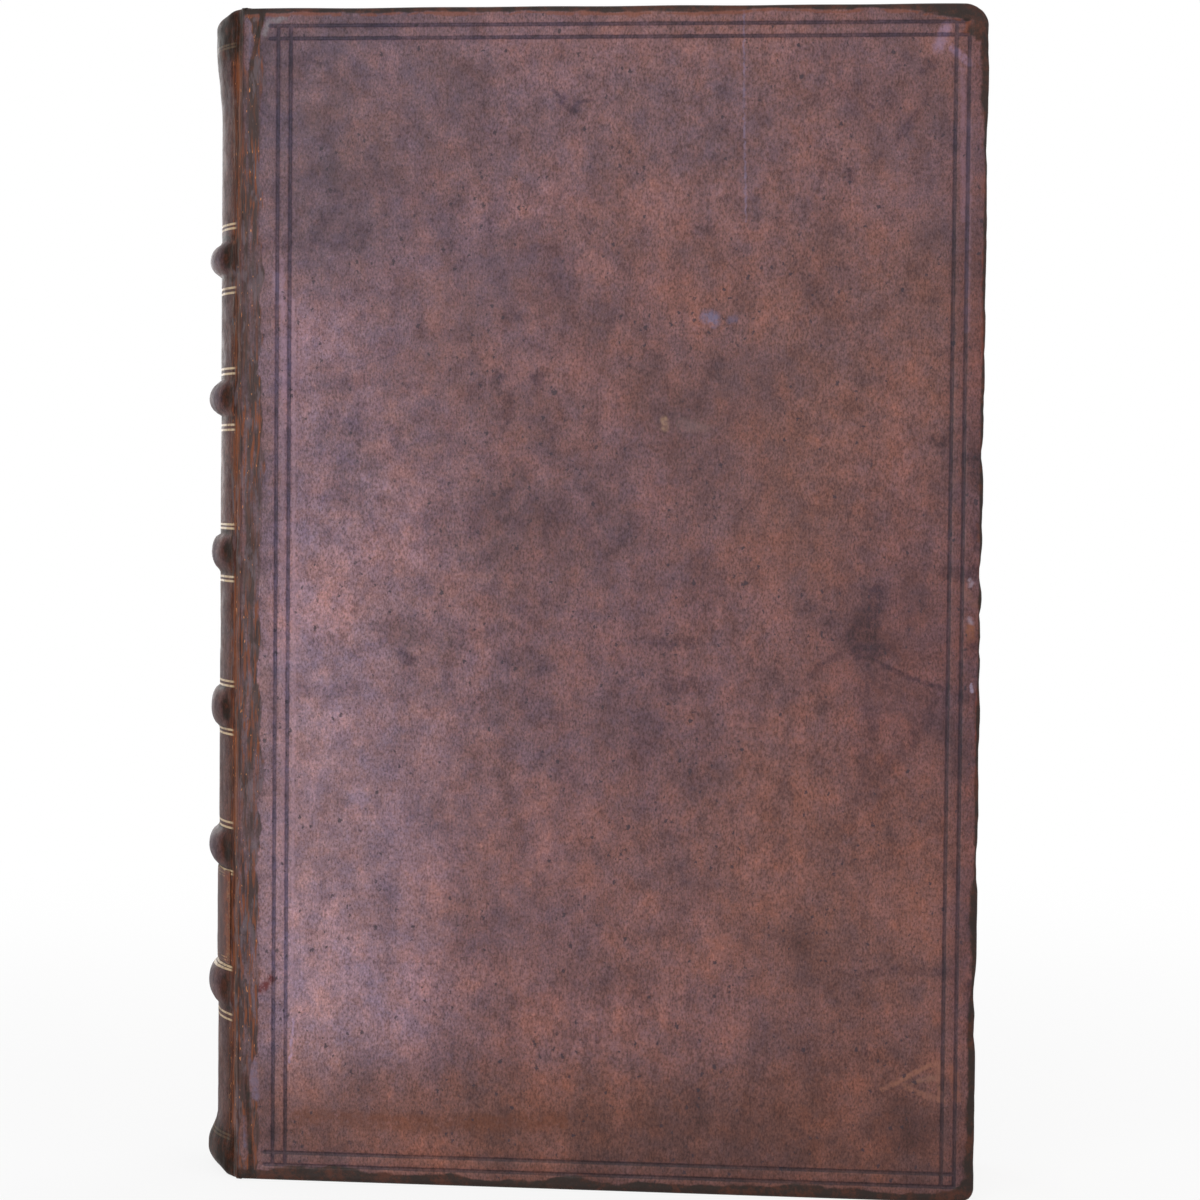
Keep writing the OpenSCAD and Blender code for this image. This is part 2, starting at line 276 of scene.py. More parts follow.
def make_mesh(name, points, faces, attributes=()):
    """A mesh object from points in millimetres, with named numbers, vectors or colours at its points."""
    mesh = bpy.data.meshes.new(name)
    mesh.from_pydata((np.asarray(points) * MM).tolist(), [], [list(map(int, f)) for f in faces])
    mesh.validate()
    for key, values in dict(attributes).items():
        values = np.asarray(values, np.float32)
        kind = "FLOAT" if values.ndim == 1 else "FLOAT_VECTOR" if values.shape[1] == 3 else "FLOAT_COLOR"
        slot = {"FLOAT": "value", "FLOAT_VECTOR": "vector", "FLOAT_COLOR": "color"}[kind]
        mesh.attributes.new(key, kind, "POINT").data.foreach_set(slot, values.ravel())
    mesh.polygons.foreach_set("use_smooth", np.ones(len(mesh.polygons), bool))
    piece = bpy.data.objects.new(name, mesh)
    bpy.context.scene.collection.objects.link(piece)
    return piece


# Edges that turn by more than this many degrees look sharp: on sheets, leaves and cords
SHEET_SHARP = 52
LEAF_SHARP = 40
CORD_SHARP = 60


def sharpen(piece, degrees):
    piece.data.set_sharp_from_angle(angle=math.radians(degrees))


def thicken(piece, thickness):
    """Gives a sheet its thickness, inwards from the surface that shows."""
    solid = piece.modifiers.new("thickness", "SOLIDIFY")
    solid.thickness = thickness * MM
    solid.offset = -1
    solid.use_even_offset = False
    bpy.context.view_layer.objects.active = piece
    bpy.ops.object.select_all(action="DESELECT")
    piece.select_set(True)
    bpy.ops.object.modifier_apply(modifier=solid.name)
    sharpen(piece, SHEET_SHARP)


def lattice(us, vs, ws, place):
    """A closed box of three sets of stops, bent by place(u, v, w): points, faces, each point's u, v, w."""
    u, v, w = np.meshgrid(us, vs, ws, indexing="ij")
    skin = np.zeros(u.shape, bool)
    for axis in range(3):
        side = np.moveaxis(skin, axis, 0)
        side[0] = side[-1] = True
    index = np.full(u.shape, -1)
    index[skin] = np.arange(skin.sum())
    u, v, w = u[skin], v[skin], w[skin]
    faces = [quads(index[0]), quads(index[-1], True), quads(index[:, 0], True), quads(index[:, -1]),
             quads(index[:, :, 0]), quads(index[:, :, -1], True)]
    return np.stack(place(u, v, w), -1), np.concatenate(faces), (u, v, w)


def tube(centres, outward, radii, sides):
    """A closed tube along a path: outward is the radial direction at each ring, radii its two half sizes."""
    around = np.linspace(0, 2 * math.pi, sides, endpoint=False)
    upward = np.array([0, 0, 1.0])
    rings = (centres[:, None] + outward[:, None] * (radii[:, 0, None] * np.cos(around))[..., None]
             + upward * (radii[:, 1, None] * np.sin(around))[..., None])
    index = np.arange(len(centres) * sides).reshape(len(centres), sides)
    wrapped = np.concatenate([index, index[:, :1]], 1)
    faces = [list(f) for f in quads(wrapped)]
    faces += [list(index[0]), list(index[-1][::-1])]
    return rings.reshape(-1, 3), faces


def linear(colour):
    """An sRGB colour given as 0 to 255, as linear numbers."""
    c = np.asarray(colour, float) / 255
    return np.where(c <= 0.04045, c / 12.92, ((c + 0.055) / 1.055) ** 2.4)


# Forms of the leather

# Steps of the leather's grid, and closer stops across each tooled line, over the bands and at the ends
ROW_STEP = 2.2
COLUMN_STEP = 2.2
GROOVE_STOPS = (-0.95, -0.6, -0.3, 0, 0.3, 0.6, 0.95)
A_LINES = [FRAME_JOINT, FRAME_JOINT + FILLET_STEP, WIDTH - FRAME_FORE - FILLET_STEP, WIDTH - FRAME_FORE]
Z_LINES = [FRAME_LOWER, FRAME_LOWER + FILLET_STEP, HEIGHT - FRAME_UPPER - FILLET_STEP, HEIGHT - FRAME_UPPER]
BAND_STOPS = np.arange(-8, 8.01, 0.9)
ROLL_STOPS = (1.9, 2.6, 3.4, 4.3, 5.3, 6.4)

ROWS = spaced(EDGE, HEIGHT - EDGE, ROW_STEP,
              [z + s for z in Z_LINES for s in GROOVE_STOPS] + [b[0] + s for b in BANDS for s in BAND_STOPS]
              + list(ROLL_STOPS) + [HEIGHT - s for s in ROLL_STOPS])
COLUMNS = spaced(STRIP_COVER, WIDTH - EDGE, COLUMN_STEP,
                 [a + s for a in A_LINES for s in GROOVE_STOPS] + [2.2, 2.9, 3.7, 4.5, 5.3, 6.1, 7, 8])

# The dark fold beside each headcap, from the end of the joint into the cover, by pixels of the photograph
UPPER_NIP = [on_cover(*p) for p in ((262, 2), (262, 18), (258, 33), (255, 46), (251, 62), (249, 84))]
LOWER_NIP = [on_cover(*p) for p in ((252, 1180), (250, 1150), (248, 1110), (246, 1085), (244, 1055))]


def fillet_distance(a, z):
    """Distance to the nearest line of the tooled frame."""
    low, high = Z_LINES[0], Z_LINES[-1]
    left, right = A_LINES[0] - LINE_OVERRUN, A_LINES[-1]
    nearest = np.full(np.shape(a), NO_LINE)
    for line in A_LINES:
        nearest = np.minimum(nearest, np.hypot(a - line, np.maximum(0, np.maximum(low - z, z - high))))
    for line in Z_LINES:
        nearest = np.minimum(nearest, np.hypot(z - line, np.maximum(0, np.maximum(left - a, a - right))))
    return nearest


def slip_lump(a, z):
    """Height of the leather over the laced-in cords, 0 to 1."""
    total = np.zeros(np.shape(a))
    for i in range(BAND_COUNT):
        low, high = box_mm(f"front_slip_{i + 1}")
        reach = high[0] - HINGE_X
        middle, half = (low[2] + high[2]) / 2, (high[2] - low[2]) / 2
        total += smooth(np.abs(z - middle), half + 1.6, half - 1.6) * smooth(a, reach + 1.5, reach - 2.5)
    return np.minimum(total, 1)


def nip(a, z):
    """How deep the folds beside the headcaps are, 0 to 1."""
    total = np.zeros(np.shape(a))
    for path in (UPPER_NIP, LOWER_NIP):
        distance, share = along_path(a, z, path)
        total = np.maximum(total, bell(distance, 1.0 - 0.4 * share) * smooth(share, 1.0, 0.75))
    return total


# Dents and bumps in the front cover: pixel of the photograph, half width and half height, depth

DENTS = [
    ("dent in the fore-edge", 972, 574, 2.2, 3.0, 0.50),
    ("bump under it", 973, 600, 2.0, 2.6, -0.28),
    ("second bump", 973, 632, 2.0, 3.0, -0.28),
    ("dent between them", 974, 615, 1.6, 1.6, 0.30),
    ("dent under them", 974, 650, 1.8, 2.0, 0.40),
    ("low dent", 972, 992, 2.0, 4.0, 0.35),
    ("second low dent", 971, 1034, 2.0, 4.0, 0.30),
    ("dent higher up", 974, 455, 1.8, 3.0, 0.28),
    ("bruise by the upper corner", 985, 60, 2.5, 6.0, 0.30),
    ("gouge", 569, 103, 2.4, 2.0, 0.35),
    ("rubbed hollow low at the right", 915, 1083, 12.0, 8.0, 0.14),
    ("hollow in the blot", 868, 640, 4.0, 7.0, 0.12),
    ("hollow by the joint", 272, 985, 2.4, 4.0, 0.22),
]

# Creases in the front cover: pixels of the photograph, half width, depth

CREASES = [
    ("crease from the blot", ((852, 640), (866, 655), (900, 672), (946, 690)), 0.9, 0.22),
    ("arms of the gouge", ((551, 90), (567, 103), (595, 101)), 0.5, 0.3),
    ("arm of the gouge", ((567, 103), (573, 123)), 0.5, 0.3),
    ("wrinkle low at the right", ((850, 972), (890, 984), (950, 990)), 1.0, 0.12),
    ("second wrinkle", ((862, 985), (905, 975), (952, 972)), 0.8, 0.10),
    ("crease over the fifth band", ((285, 392), (330, 384), (372, 388)), 0.7, 0.12),
    ("crease over the sixth band", ((284, 243), (318, 244), (352, 240)), 0.7, 0.12),
    ("crease over the third band", ((284, 690), (318, 688), (345, 690)), 0.7, 0.10),
    ("scar near the head", ((314, 62), (320, 64), (328, 65)), 0.5, 0.25),
]


def face_depth(a, z, side):
    """Depth of a cover's outer face under its highest points."""
    points = spot(a + HINGE_X, side * HALF, z)
    # waves of the board and the skin, from wide to fine
    depth = FACE_REST + 0.07 * ripple(points, 95, 11) + 0.035 * ripple(points, 24, 12)
    depth = depth + 0.018 * ripple(points, 9, 13) + 0.010 * ripple(points, 5, 14, 24)
    # wrinkles along the joint, then lumps over the cords, tooled lines and folds
    near_joint = smooth(a, 9, 2)
    stretched = points * np.array([1, 1, 0.22])
    depth = depth + near_joint * 0.10 * ripple(stretched, 2.6, 15, 20)
    depth = depth - 0.22 * slip_lump(a, z) * smooth(a, 14, 8)
    line = fillet_distance(a, z)
    depth = depth + FILLET_DEPTH * smooth(line, FILLET_HALF, 0.1) - 0.05 * bell(line - 1.2, 0.5)
    depth = depth + 0.5 * nip(a, z)
    if side < 0:
        for _, px, py, half_a, half_z, deep in DENTS:
            da, dz = on_cover(px, py)
            depth = depth + deep * bell(np.hypot((a - da) / half_a, (z - dz) / half_z), 1)
        for _, pixels, half, deep in CREASES:
            distance, share = along_pixels(a, z, pixels)
            depth = depth + deep * bell(distance, half) * smooth(share * (1 - share), 0, 0.12)
    return np.clip(depth, 0.02, FACE_LIMIT)


def round_corners(a, z):
    """Moves places near the two square fore corners of the face onto rounded ones."""
    a, z = a.copy(), z.copy()
    edge_a = WIDTH - EDGE
    for edge_z, inward, radius in ((HEIGHT - EDGE, -1, UPPER_CORNER - EDGE), (EDGE, 1, LOWER_CORNER - EDGE)):
        p, q = edge_a - a, (z - edge_z) * inward
        ring = np.minimum(p, q)
        t = np.maximum(p, q) - ring
        reach = 0.7 * radius
        r = radius * np.clip(1 - ring / reach, 0, 1)
        inside = (r > 1e-6) & (t < r)
        safe = np.where(r > 1e-6, r, 1)
        turn = np.radians(45) * (1 - np.clip(t / safe, 0, 1))
        far, near = ring + r * (1 - np.sin(turn)), ring + r * (1 - np.cos(turn))
        along_head = p >= q
        new_p = np.where(along_head, far, near)
        new_q = np.where(along_head, near, far)
        a = np.where(inside, edge_a - new_p, a)
        z = np.where(inside, edge_z + inward * new_q, z)
    return a, z


def edge_distance(a, z):
    """Distance from the head, the tail or the fore-edge of a cover, whichever is nearest."""
    return np.minimum(np.minimum(z, HEIGHT - z), WIDTH - a)


def cover_xyz(a, z, depth, side):
    """Places on a cover as x, y, z."""
    return spot(HINGE_X + a, side * (HALF - depth), z)


# Rings that carry the leather over the board's edge: outward from the face's outline, and depth

def edge_rings():
    """(outward, depth) of each ring, from the face round the edge and onto the turned-in leather."""
    quarter = [math.radians(a) for a in (18, 36, 54, 72, 90)]
    over = [(EDGE * math.sin(q), EDGE * (1 - math.cos(q))) for q in quarter]
    flat = [(EDGE, EDGE + (COVER_DEPTH - 2 * EDGE) * s) for s in (0.33, 0.67)]
    under = [(EDGE * math.cos(q), COVER_DEPTH - EDGE * (1 - math.sin(q))) for q in [0] + quarter]
    inside = [(EDGE - TURN_IN * s, COVER_DEPTH) for s in (0.25, 0.45, 0.65, 0.82, 0.95)]
    inside.append((EDGE - TURN_IN, COVER_DEPTH - 0.35))
    return over + flat + under + inside


EDGE_RINGS = edge_rings()
# How far from a corner its rounding may shift the places along the rings
CORNER_REACH = 34.0


def ring_place(edge, c, radius, outward):
    """Where a boundary place lies on a ring: distances in from the ring's own two edges become (a, z).

    edge is "head", "fore_high", "fore_low" or "tail"; c is the distance from the face's square corner."""
    r = max(radius + outward, 0.8)
    if c < radius:
        turn = math.radians(45) * (1 - c / radius)
        p, q = r * (1 - math.sin(turn)), r * (1 - math.cos(turn))
    elif c < CORNER_REACH:
        p = r + (c - radius) * (CORNER_REACH + outward - r) / (CORNER_REACH - radius)
        q = 0.0
    else:
        p, q = c + outward, 0.0
    if edge in ("head", "tail"):
        in_a, in_z = p, q
    else:
        in_a, in_z = q, p
    a = WIDTH - EDGE + outward - in_a
    if edge in ("head", "fore_high"):
        z = HEIGHT - EDGE + outward - in_z
    else:
        z = EDGE - outward + in_z
    return a, z


def outline_stops():
    """The face's boundary from the head of the joint round the fore-edge to the tail of the joint."""
    middle = HEIGHT / 2
    edge_a = WIDTH - EDGE
    stops = [("head", edge_a - a) for a in COLUMNS]
    for z in ROWS[::-1][1:]:
        high = z > middle
        stops.append(("fore_high", HEIGHT - EDGE - z) if high else ("fore_low", z - EDGE))
    stops += [("tail", edge_a - a) for a in COLUMNS[::-1][1:]]
    return stops


def fore_bite(z, side):
    """How far the fore-edge is worn back, at a height."""
    points = spot(0.0, 40.0 * side, z)
    worn = 0.22 + 0.16 * ripple(points, 45, 21) + 0.14 * ripple(points, 14, 22) + 0.05 * ripple(points, 5, 24)
    if side < 0:
        for _, px, py, _, half_z, deep in DENTS[:8]:
            worn = worn + 0.9 * max(deep, -0.25) * bell(z - on_cover(px, py)[1], half_z)
    return np.clip(worn, 0, 0.8)


def cover_sheet(side):
    """Points, faces and coordinates of one cover's leather."""
    a, z = np.meshgrid(COLUMNS, ROWS, indexing="ij")
    a, z = round_corners(a, z)
    depth = face_depth(a, z, side)
    shape = a.shape
    index = np.arange(a.size).reshape(shape)
    faces = [quads(index, flip=side > 0)]
    points = [spot(a, z, depth).reshape(-1, 3)]

    stops = outline_stops()
    border = np.concatenate([index[:, -1], index[-1, ::-1][1:], index[::-1, 0][1:]])
    rings = [border]
    first_depth = depth.reshape(-1)[border]
    count = a.size
    for outward, deep in EDGE_RINGS:
        places = []
        for edge, c in stops:
            high = edge in ("head", "fore_high")
            radius = (UPPER_CORNER if high else LOWER_CORNER) - EDGE
            places.append(ring_place(edge, c, radius, outward))
        places = np.array(places)
        ring_depth = deep + first_depth * smooth(deep, EDGE, 0)
        ring = spot(*places.T, ring_depth)
        points.append(ring)
        rings.append(np.arange(count, count + len(stops)))
        count += len(stops)
    faces.append(quads(np.array(rings), flip=side < 0))
    points = np.concatenate(points)
    rim = smooth(points[:, 0], WIDTH - 3.5, WIDTH - 0.5) * fore_bite(points[:, 1], side)
    points[:, 0] -= rim
    ends = spot(points[:, 0], 31.0 * side, 0.0)
    wave = np.clip(0.10 + 0.10 * ripple(ends, 50, 23), 0, 0.35)
    points[:, 1] -= smooth(points[:, 1], HEIGHT - 3, HEIGHT - 0.5) * wave
    return points, np.concatenate(faces)


# Spine

CAP_INNER_R = 38.4
# Of the lower and the upper cap: how far it stands out, where that starts and is full, height of its roll
CAPS = ((3.0, 17.0, 7.0, 6.0), (1.9, 32.0, 8.0, 4.0))
FADE = math.radians(41)
THETA_END = JOINT_ANGLE - STRIP_SPINE / SKIN_R
SPINE_COLUMNS = 93
# Round the spine's arc: the pit that ends each band, the knob of its cord, the split beside the board
PIT_AT = math.radians(34)
KNOB_AT = math.radians(43)
SPLIT_AT = math.radians(40.5)


def crescent(turn, rise):
    """Height over the spine's arc of a crescent that is this high in the middle and dies away at FADE."""
    crown = SKIN_R + rise
    fade_x, fade_y = SKIN_R * math.cos(FADE), SKIN_R * math.sin(FADE)
    shift = (crown ** 2 - fade_x ** 2 - fade_y ** 2) / (2 * (crown - fade_x))
    radius = crown - shift
    lift = shift * np.cos(turn) + np.sqrt(radius ** 2 - (shift * np.sin(turn)) ** 2) - SKIN_R
    return np.maximum(lift, 0)


def spine_lift(turn, z):
    """Height of the spine's leather over its plain arc."""
    lift = np.zeros(np.shape(turn))
    for middle, rise, width in BANDS:
        d = np.abs(z - middle)
        dome = np.sqrt(np.clip(1 - (d / (width / 2 + 0.3)) ** 2, 0, 1)) ** 1.25
        lift = lift + crescent(turn, rise) * dome
        lift = lift - 0.62 * bell(turn - PIT_AT, math.radians(4)) * bell(d, 3.2)
        lift = lift + 0.42 * bell(turn - KNOB_AT, math.radians(2.6)) * bell(d, 3.0)
    for (out, reach, full, _), dz in zip(CAPS, (z, HEIGHT - z)):
        across = np.clip((np.cos(turn) - math.cos(FADE)) / (1 - math.cos(FADE)), 0, 1)
        lift = lift + out * across * smooth(dz, reach, full)
    return lift


def roll_inset(dz, width, height):
    """How far an end rolls in at a distance from the very end."""
    t = np.clip(1 - dz / height, 0, 1)
    return width * (1 - np.sqrt(np.maximum(0, 1 - t * t)))


def spine_xy(theta, radius):
    """Places round the middle of the spine's arc."""
    return SPINE_X - radius * np.cos(theta), radius * np.sin(theta)


def spine_point(theta, z):
    """A place on the outer face of the spine's leather."""
    turn = np.abs(theta)
    lift = spine_lift(turn, z)
    rough_at = spot(theta * SKIN_R, 7.0, z)
    rough = 0.07 * ripple(rough_at, 30, 31) + 0.05 * ripple(rough_at, 7, 32)
    stretched = rough_at * np.array([1, 1, 0.22])
    near_joint = smooth(turn, math.radians(30), math.radians(38))
    rough = rough + near_joint * 0.10 * ripple(stretched, 2.4, 33, 20)
    radius = SKIN_R + lift + np.minimum(rough, 0.3 * lift) - 0.06
    to_end = np.minimum(z, HEIGHT - z)
    narrow = smooth(turn, math.radians(24), math.radians(40))
    width = (radius - CAP_INNER_R) * (1 - narrow) + EDGE * narrow
    height = np.where(z < HEIGHT / 2, CAPS[0][3], CAPS[1][3]) * (1 - narrow) + EDGE * narrow
    radius = radius - roll_inset(to_end, width, height)
    x, y = spine_xy(theta, radius)
    return spot(x, y, z)


END_TURNS = [math.radians(a) for a in (18, 36, 54, 72, 90)]


def end_rows():
    """Heights of the rows that finish the leather at an end, measured from that end."""
    return [EDGE * (1 - math.sin(q)) for q in END_TURNS]


def full_rows():
    """All rows of the spine and the joints, from the tail's very end to the head's."""
    ends = end_rows()
    return np.concatenate([ends[::-1], ROWS, [HEIGHT - e for e in ends]])


FULL_ROWS = full_rows()


def strip_curve():
    """Stops across the strip between spine and cover, by kind: angle on the spine or over the joint, place on
    the cover.
    """
    spine_part = [("spine", THETA_END + (JOINT_ANGLE - THETA_END) * s) for s in np.linspace(0, 1, 6)]
    roll = [("roll", JOINT_ANGLE + (math.pi / 2 - JOINT_ANGLE) * s) for s in (0.25, 0.5, 0.75, 1)]
    cover_part = [("cover", STRIP_COVER * s) for s in (0.2, 0.4, 0.6, 0.8, 1)]
    return spine_part + roll + cover_part


def strip_points(side):
    """The outer face of the leather between spine and cover, as a grid of stops by rows."""
    columns = []
    z = FULL_ROWS
    inner = np.clip(z, EDGE, HEIGHT - EDGE)
    to_end = np.minimum(z, HEIGHT - z)
    for kind, value in strip_curve():
        if kind == "spine":
            columns.append(spine_point(np.full(z.shape, side * value), z))
            continue
        if kind == "cover":
            a = np.full(z.shape, value)
            depth = face_depth(a, inner, side)
            x, out = HINGE_X + a, depth
        else:
            depth = face_depth(np.zeros(z.shape), inner, side)
            reach = LEATHER / 2 - depth * (value - JOINT_ANGLE) / (math.pi / 2 - JOINT_ANGLE)
            x = HINGE_X - reach * math.cos(value)
            out = HALF - HINGE_Y - reach * math.sin(value)
            out = out - 0.25 * sum(bell(z - b[0], 3.0) for b in BANDS)
        out = np.maximum(out, 0.0)
        out = out + roll_inset(to_end, EDGE, EDGE)
        columns.append(spot(x, side * (HALF - out), z))
    return np.array(columns)


# Rows that turn the leather in at an end: how far in, how far back from the end
LIP_STEPS = ((0.8, 0.0), (1.6, 0.05), (2.3, 0.25), (2.5, 0.8))


def end_lip(grid, inward):
    """Adds rows at both ends of a grid that turn the leather in; inward is the direction at each stop."""
    def lip(edge, down):
        rows = []
        for reach, drop in LIP_STEPS:
            moved = edge + inward * reach
            moved[:, 2] -= down * drop
            rows.append(moved)
        return rows
    tail = lip(grid[:, 0], -1)[::-1]
    head = lip(grid[:, -1], 1)
    return np.concatenate([np.stack(tail, 1), grid, np.stack(head, 1)], 1)


# Colours of the leather

# Distance to a tooled line where none is near, and the depth at which the tooled face ends
NO_LINE = 9.0
FACE_END = 1.4

# A stroke's cover is full within the first share of its half width and nothing beyond the second
STROKE_FULL = 0.35
STROKE_NONE = 1.35

# Soft regions of the front cover: pixel of the photograph, half width and half height in mm, colour, weight

REGIONS = [
    # the lilac sheen regions are a painted sheen of the light from the left
    ("lilac sheen beside the frame", 330, 560, 24, 56, (132, 104, 112), 1.6),
    ("lilac sheen lower", 330, 820, 26, 60, (156, 125, 134), 1.6),
    ("lilac sheen upper", 322, 350, 16, 26, (136, 108, 118), 1.4),
    ("strip between joint and frame", 262, 600, 5, 140, (108, 86, 91), 1.6),
    ("head of the joint", 262, 120, 6, 30, (104, 86, 94), 1.6),
    ("grey head corner", 320, 140, 32, 42, (102, 83, 89), 2.2),
    ("left of the middle, high", 450, 250, 40, 50, (120, 92, 96), 1.0),
    ("left of the middle", 450, 560, 36, 60, (119, 91, 94), 1.0),
    ("left of the middle, low", 450, 850, 36, 50, (124, 94, 97), 1.0),
    ("middle, high", 620, 120, 50, 30, (113, 88, 91), 1.0),
    ("middle", 620, 420, 45, 60, (116, 86, 86), 1.0),
    ("streaked middle", 630, 660, 36, 50, (112, 85, 88), 1.0),
    ("middle, low", 620, 900, 45, 45, (119, 89, 89), 1.0),
    ("upper right", 840, 150, 40, 40, (112, 86, 88), 1.0),
    ("right", 840, 400, 40, 60, (117, 86, 82), 1.0),
    ("right of the blot", 900, 640, 22, 50, (108, 79, 80), 1.0),
    ("right, low", 840, 860, 40, 40, (116, 84, 79), 1.0),
    ("lower right corner", 900, 1060, 26, 20, (112, 82, 79), 1.0),
    ("band along the lower edge, left", 400, 1120, 50, 14, (110, 80, 75), 1.6),
    ("band along the lower edge, right", 700, 1130, 70, 12, (108, 78, 73), 1.6),
    ("strip at the fore-edge", 970, 600, 5, 150, (100, 75, 77), 1.4),
]

REAR_REGIONS = [
    ("middle", 111, 180, 60, 90, (116, 87, 87), 1.0),
    ("joint side", 10, 180, 9, 160, (112, 88, 92), 1.4),
    ("fore side", 214, 180, 8, 150, (107, 80, 82), 1.2),
    ("upper left", 60, 290, 45, 45, (113, 88, 90), 1.0),
    ("lower right", 160, 70, 50, 50, (119, 88, 87), 1.0),
    ("lower left", 60, 80, 45, 50, (123, 94, 96), 1.0),
    ("upper right", 165, 290, 45, 45, (111, 84, 85), 1.0),
    ("lower edge", 111, 8, 120, 12, (104, 76, 72), 1.6),
]

SPINE_TONE = (92, 73, 72)

# What the mottling takes out of the soft colours, given back
TONE_GAIN = np.array([1.00, 1.08, 1.08])

# What the gloss of the leather adds to its own colour, as linear light
SHEEN = 0.03


def region_tone(a, z, side):
    """The soft colour of a cover, with a painted lilac sheen on the front."""
    if side < 0:
        regions = [(*on_cover(px, py), *rest) for _, px, py, *rest in REGIONS]
    else:
        regions = [row[1:] for row in REAR_REGIONS]
    total = np.full(np.shape(a) + (1,), 0.02)
    colour = total * linear((114, 86, 86))
    for da, dz, half_a, half_z, shade, weight in regions:
        w = weight * np.exp(-((a - da) / half_a) ** 2 - ((z - dz) / half_z) ** 2)[..., None]
        total = total + w
        colour = colour + w * linear(shade)
    return np.maximum((colour / total - SHEEN) * TONE_GAIN, 0.01)


# Dark stains and painted shade on the front cover: pixels of the photograph along the middle, half width in
# mm, darkness.
# Those from SOFT_STAIN up are clouds in the soft colours.

SOFT_STAIN = 3.9
# How much of its darkness such a cloud keeps
CLOUD_SHARE = 0.7
STAIN_AND_SHADE_TINT = (0.46, 0.44, 0.54)
STAINS_AND_SHADE = [
    ("blot, upper lobe", ((877, 590), (873, 612), (872, 636)), 2.6, 0.95),
    ("blot, left lobe", ((866, 612), (852, 636)), 2.3, 0.6),
    ("blot, middle", ((860, 652), (886, 650)), 3.4, 0.85),
    ("blot, lower lobe", ((868, 680), (862, 704), (876, 724)), 2.6, 0.55),
    ("line across the blot", ((856, 646), (880, 664), (902, 674), (926, 684), (952, 690)), 1.0, 0.9),
    ("foot of the blot", ((944, 700), (922, 728), (900, 752), (884, 766)), 2.8, 0.5),
    ("arc left of the blot", ((838, 655), (818, 668), (806, 684)), 1.4, 0.6),
    ("stain under the blot", ((868, 735), (866, 790)), 4.5, 0.45),
    ("stain across the frame", ((946, 574), (976, 574)), 2.0, 0.7),
    ("lower stain across the frame", ((944, 692), (974, 698)), 2.4, 0.6),
    ("patch in the frame", ((932, 440), (942, 442)), 2.2, 0.7),
    ("dark spot at the fore-edge", ((974, 566), (979, 574)), 1.0, 1.0),
    ("second dark spot there", ((972, 640), (978, 648)), 1.3, 0.9),
    ("smear by the upper corner", ((918, 112), (906, 128), (896, 142)), 1.4, 0.75),
    ("smudge by the upper corner", ((932, 62), (924, 70)), 2.0, 0.75),
    ("second smudge there", ((928, 90), (926, 98)), 1.8, 0.6),
    ("gouge", ((562, 100), (575, 106)), 1.9, 1.0),
    ("brown blotch", ((655, 644), (694, 642)), 2.2, 0.8),
    ("smudge under the blotch", ((676, 686), (698, 688)), 2.6, 0.7),
    ("smudge left of the middle", ((495, 385), (501, 376)), 1.9, 0.85),
    ("second smudge", ((537, 378), (538, 390)), 2.2, 0.85),
    ("long smudge", ((508, 396), (508, 418)), 2.2, 0.6),
    ("ink spot", ((403, 655), (409, 659)), 2.4, 1.0),
    ("spot near the upper edge", ((850, 174), (852, 177)), 1.7, 1.0),
    ("faint spot", ((722, 200), (725, 200)), 1.4, 0.6),
    ("spot by the upper corner", ((820, 180), (824, 170)), 1.2, 0.6),
    ("cloud near the head", ((335, 176), (396, 186)), 7.0, 0.45),
    ("cloud by the frame", ((305, 222), (352, 230)), 4.5, 0.45),
    # painted shade in the creases over the bands
    ("shade over the sixth band", ((292, 244), (360, 246)), 2.2, 0.5),
    ("shade over the fifth band", ((296, 388), (400, 378)), 2.4, 0.4),
    ("shade over the third band", ((288, 690), (350, 692)), 2.2, 0.4),
    ("cloud left of the middle, high", ((410, 210), (440, 180)), 6.0, 0.35),
    ("cloud high in the middle", ((556, 236), (562, 284)), 5.0, 0.5),
    ("bar in the middle", ((436, 524), (500, 515), (556, 510)), 4.5, 0.5),
    ("patch beside the bar", ((545, 512), (545, 545)), 1.8, 0.6),
    ("streak in the middle", ((528, 600), (532, 720)), 4.5, 0.35),
    ("second streak", ((640, 735), (646, 810)), 4.0, 0.45),
    ("third streak", ((700, 560), (706, 620)), 4.0, 0.35),
    ("fourth streak", ((560, 720), (566, 800)), 3.0, 0.35),
    ("cloud at the upper right", ((836, 88), (896, 112)), 6.0, 0.4),
    ("cloud at the right", ((815, 225), (830, 300)), 7.0, 0.35),
    ("low cloud", ((560, 1000), (640, 985)), 6.0, 0.3),
    ("low dark patch at the right", ((905, 1140), (925, 1120)), 5.0, 0.5),
    # painted shade in the low wrinkle at the right
    ("wrinkle low at the right", ((862, 976), (900, 968), (952, 975)), 1.6, 0.5),
    ("head corner", ((282, 40), (290, 110)), 5.0, 0.45),
    # painted shade over the band by the joint, along the fore-edge and in its dents, and beside the nip
    ("shade over the band by the joint", ((262, 243), (285, 243)), 2.6, 0.6),
    ("shade at the fore-edge", ((978, 524), (977, 545)), 2.2, 0.8),
    ("second shade there", ((975, 640), (975, 652)), 2.4, 0.7),
    ("low shade at the fore-edge", ((972, 985), (970, 1040)), 1.8, 0.7),
    ("shade beside the nip", ((262, 50), (262, 110)), 2.6, 0.6),
]

# Fine scratches, drawn without raggedness: pixels, half width, darkness

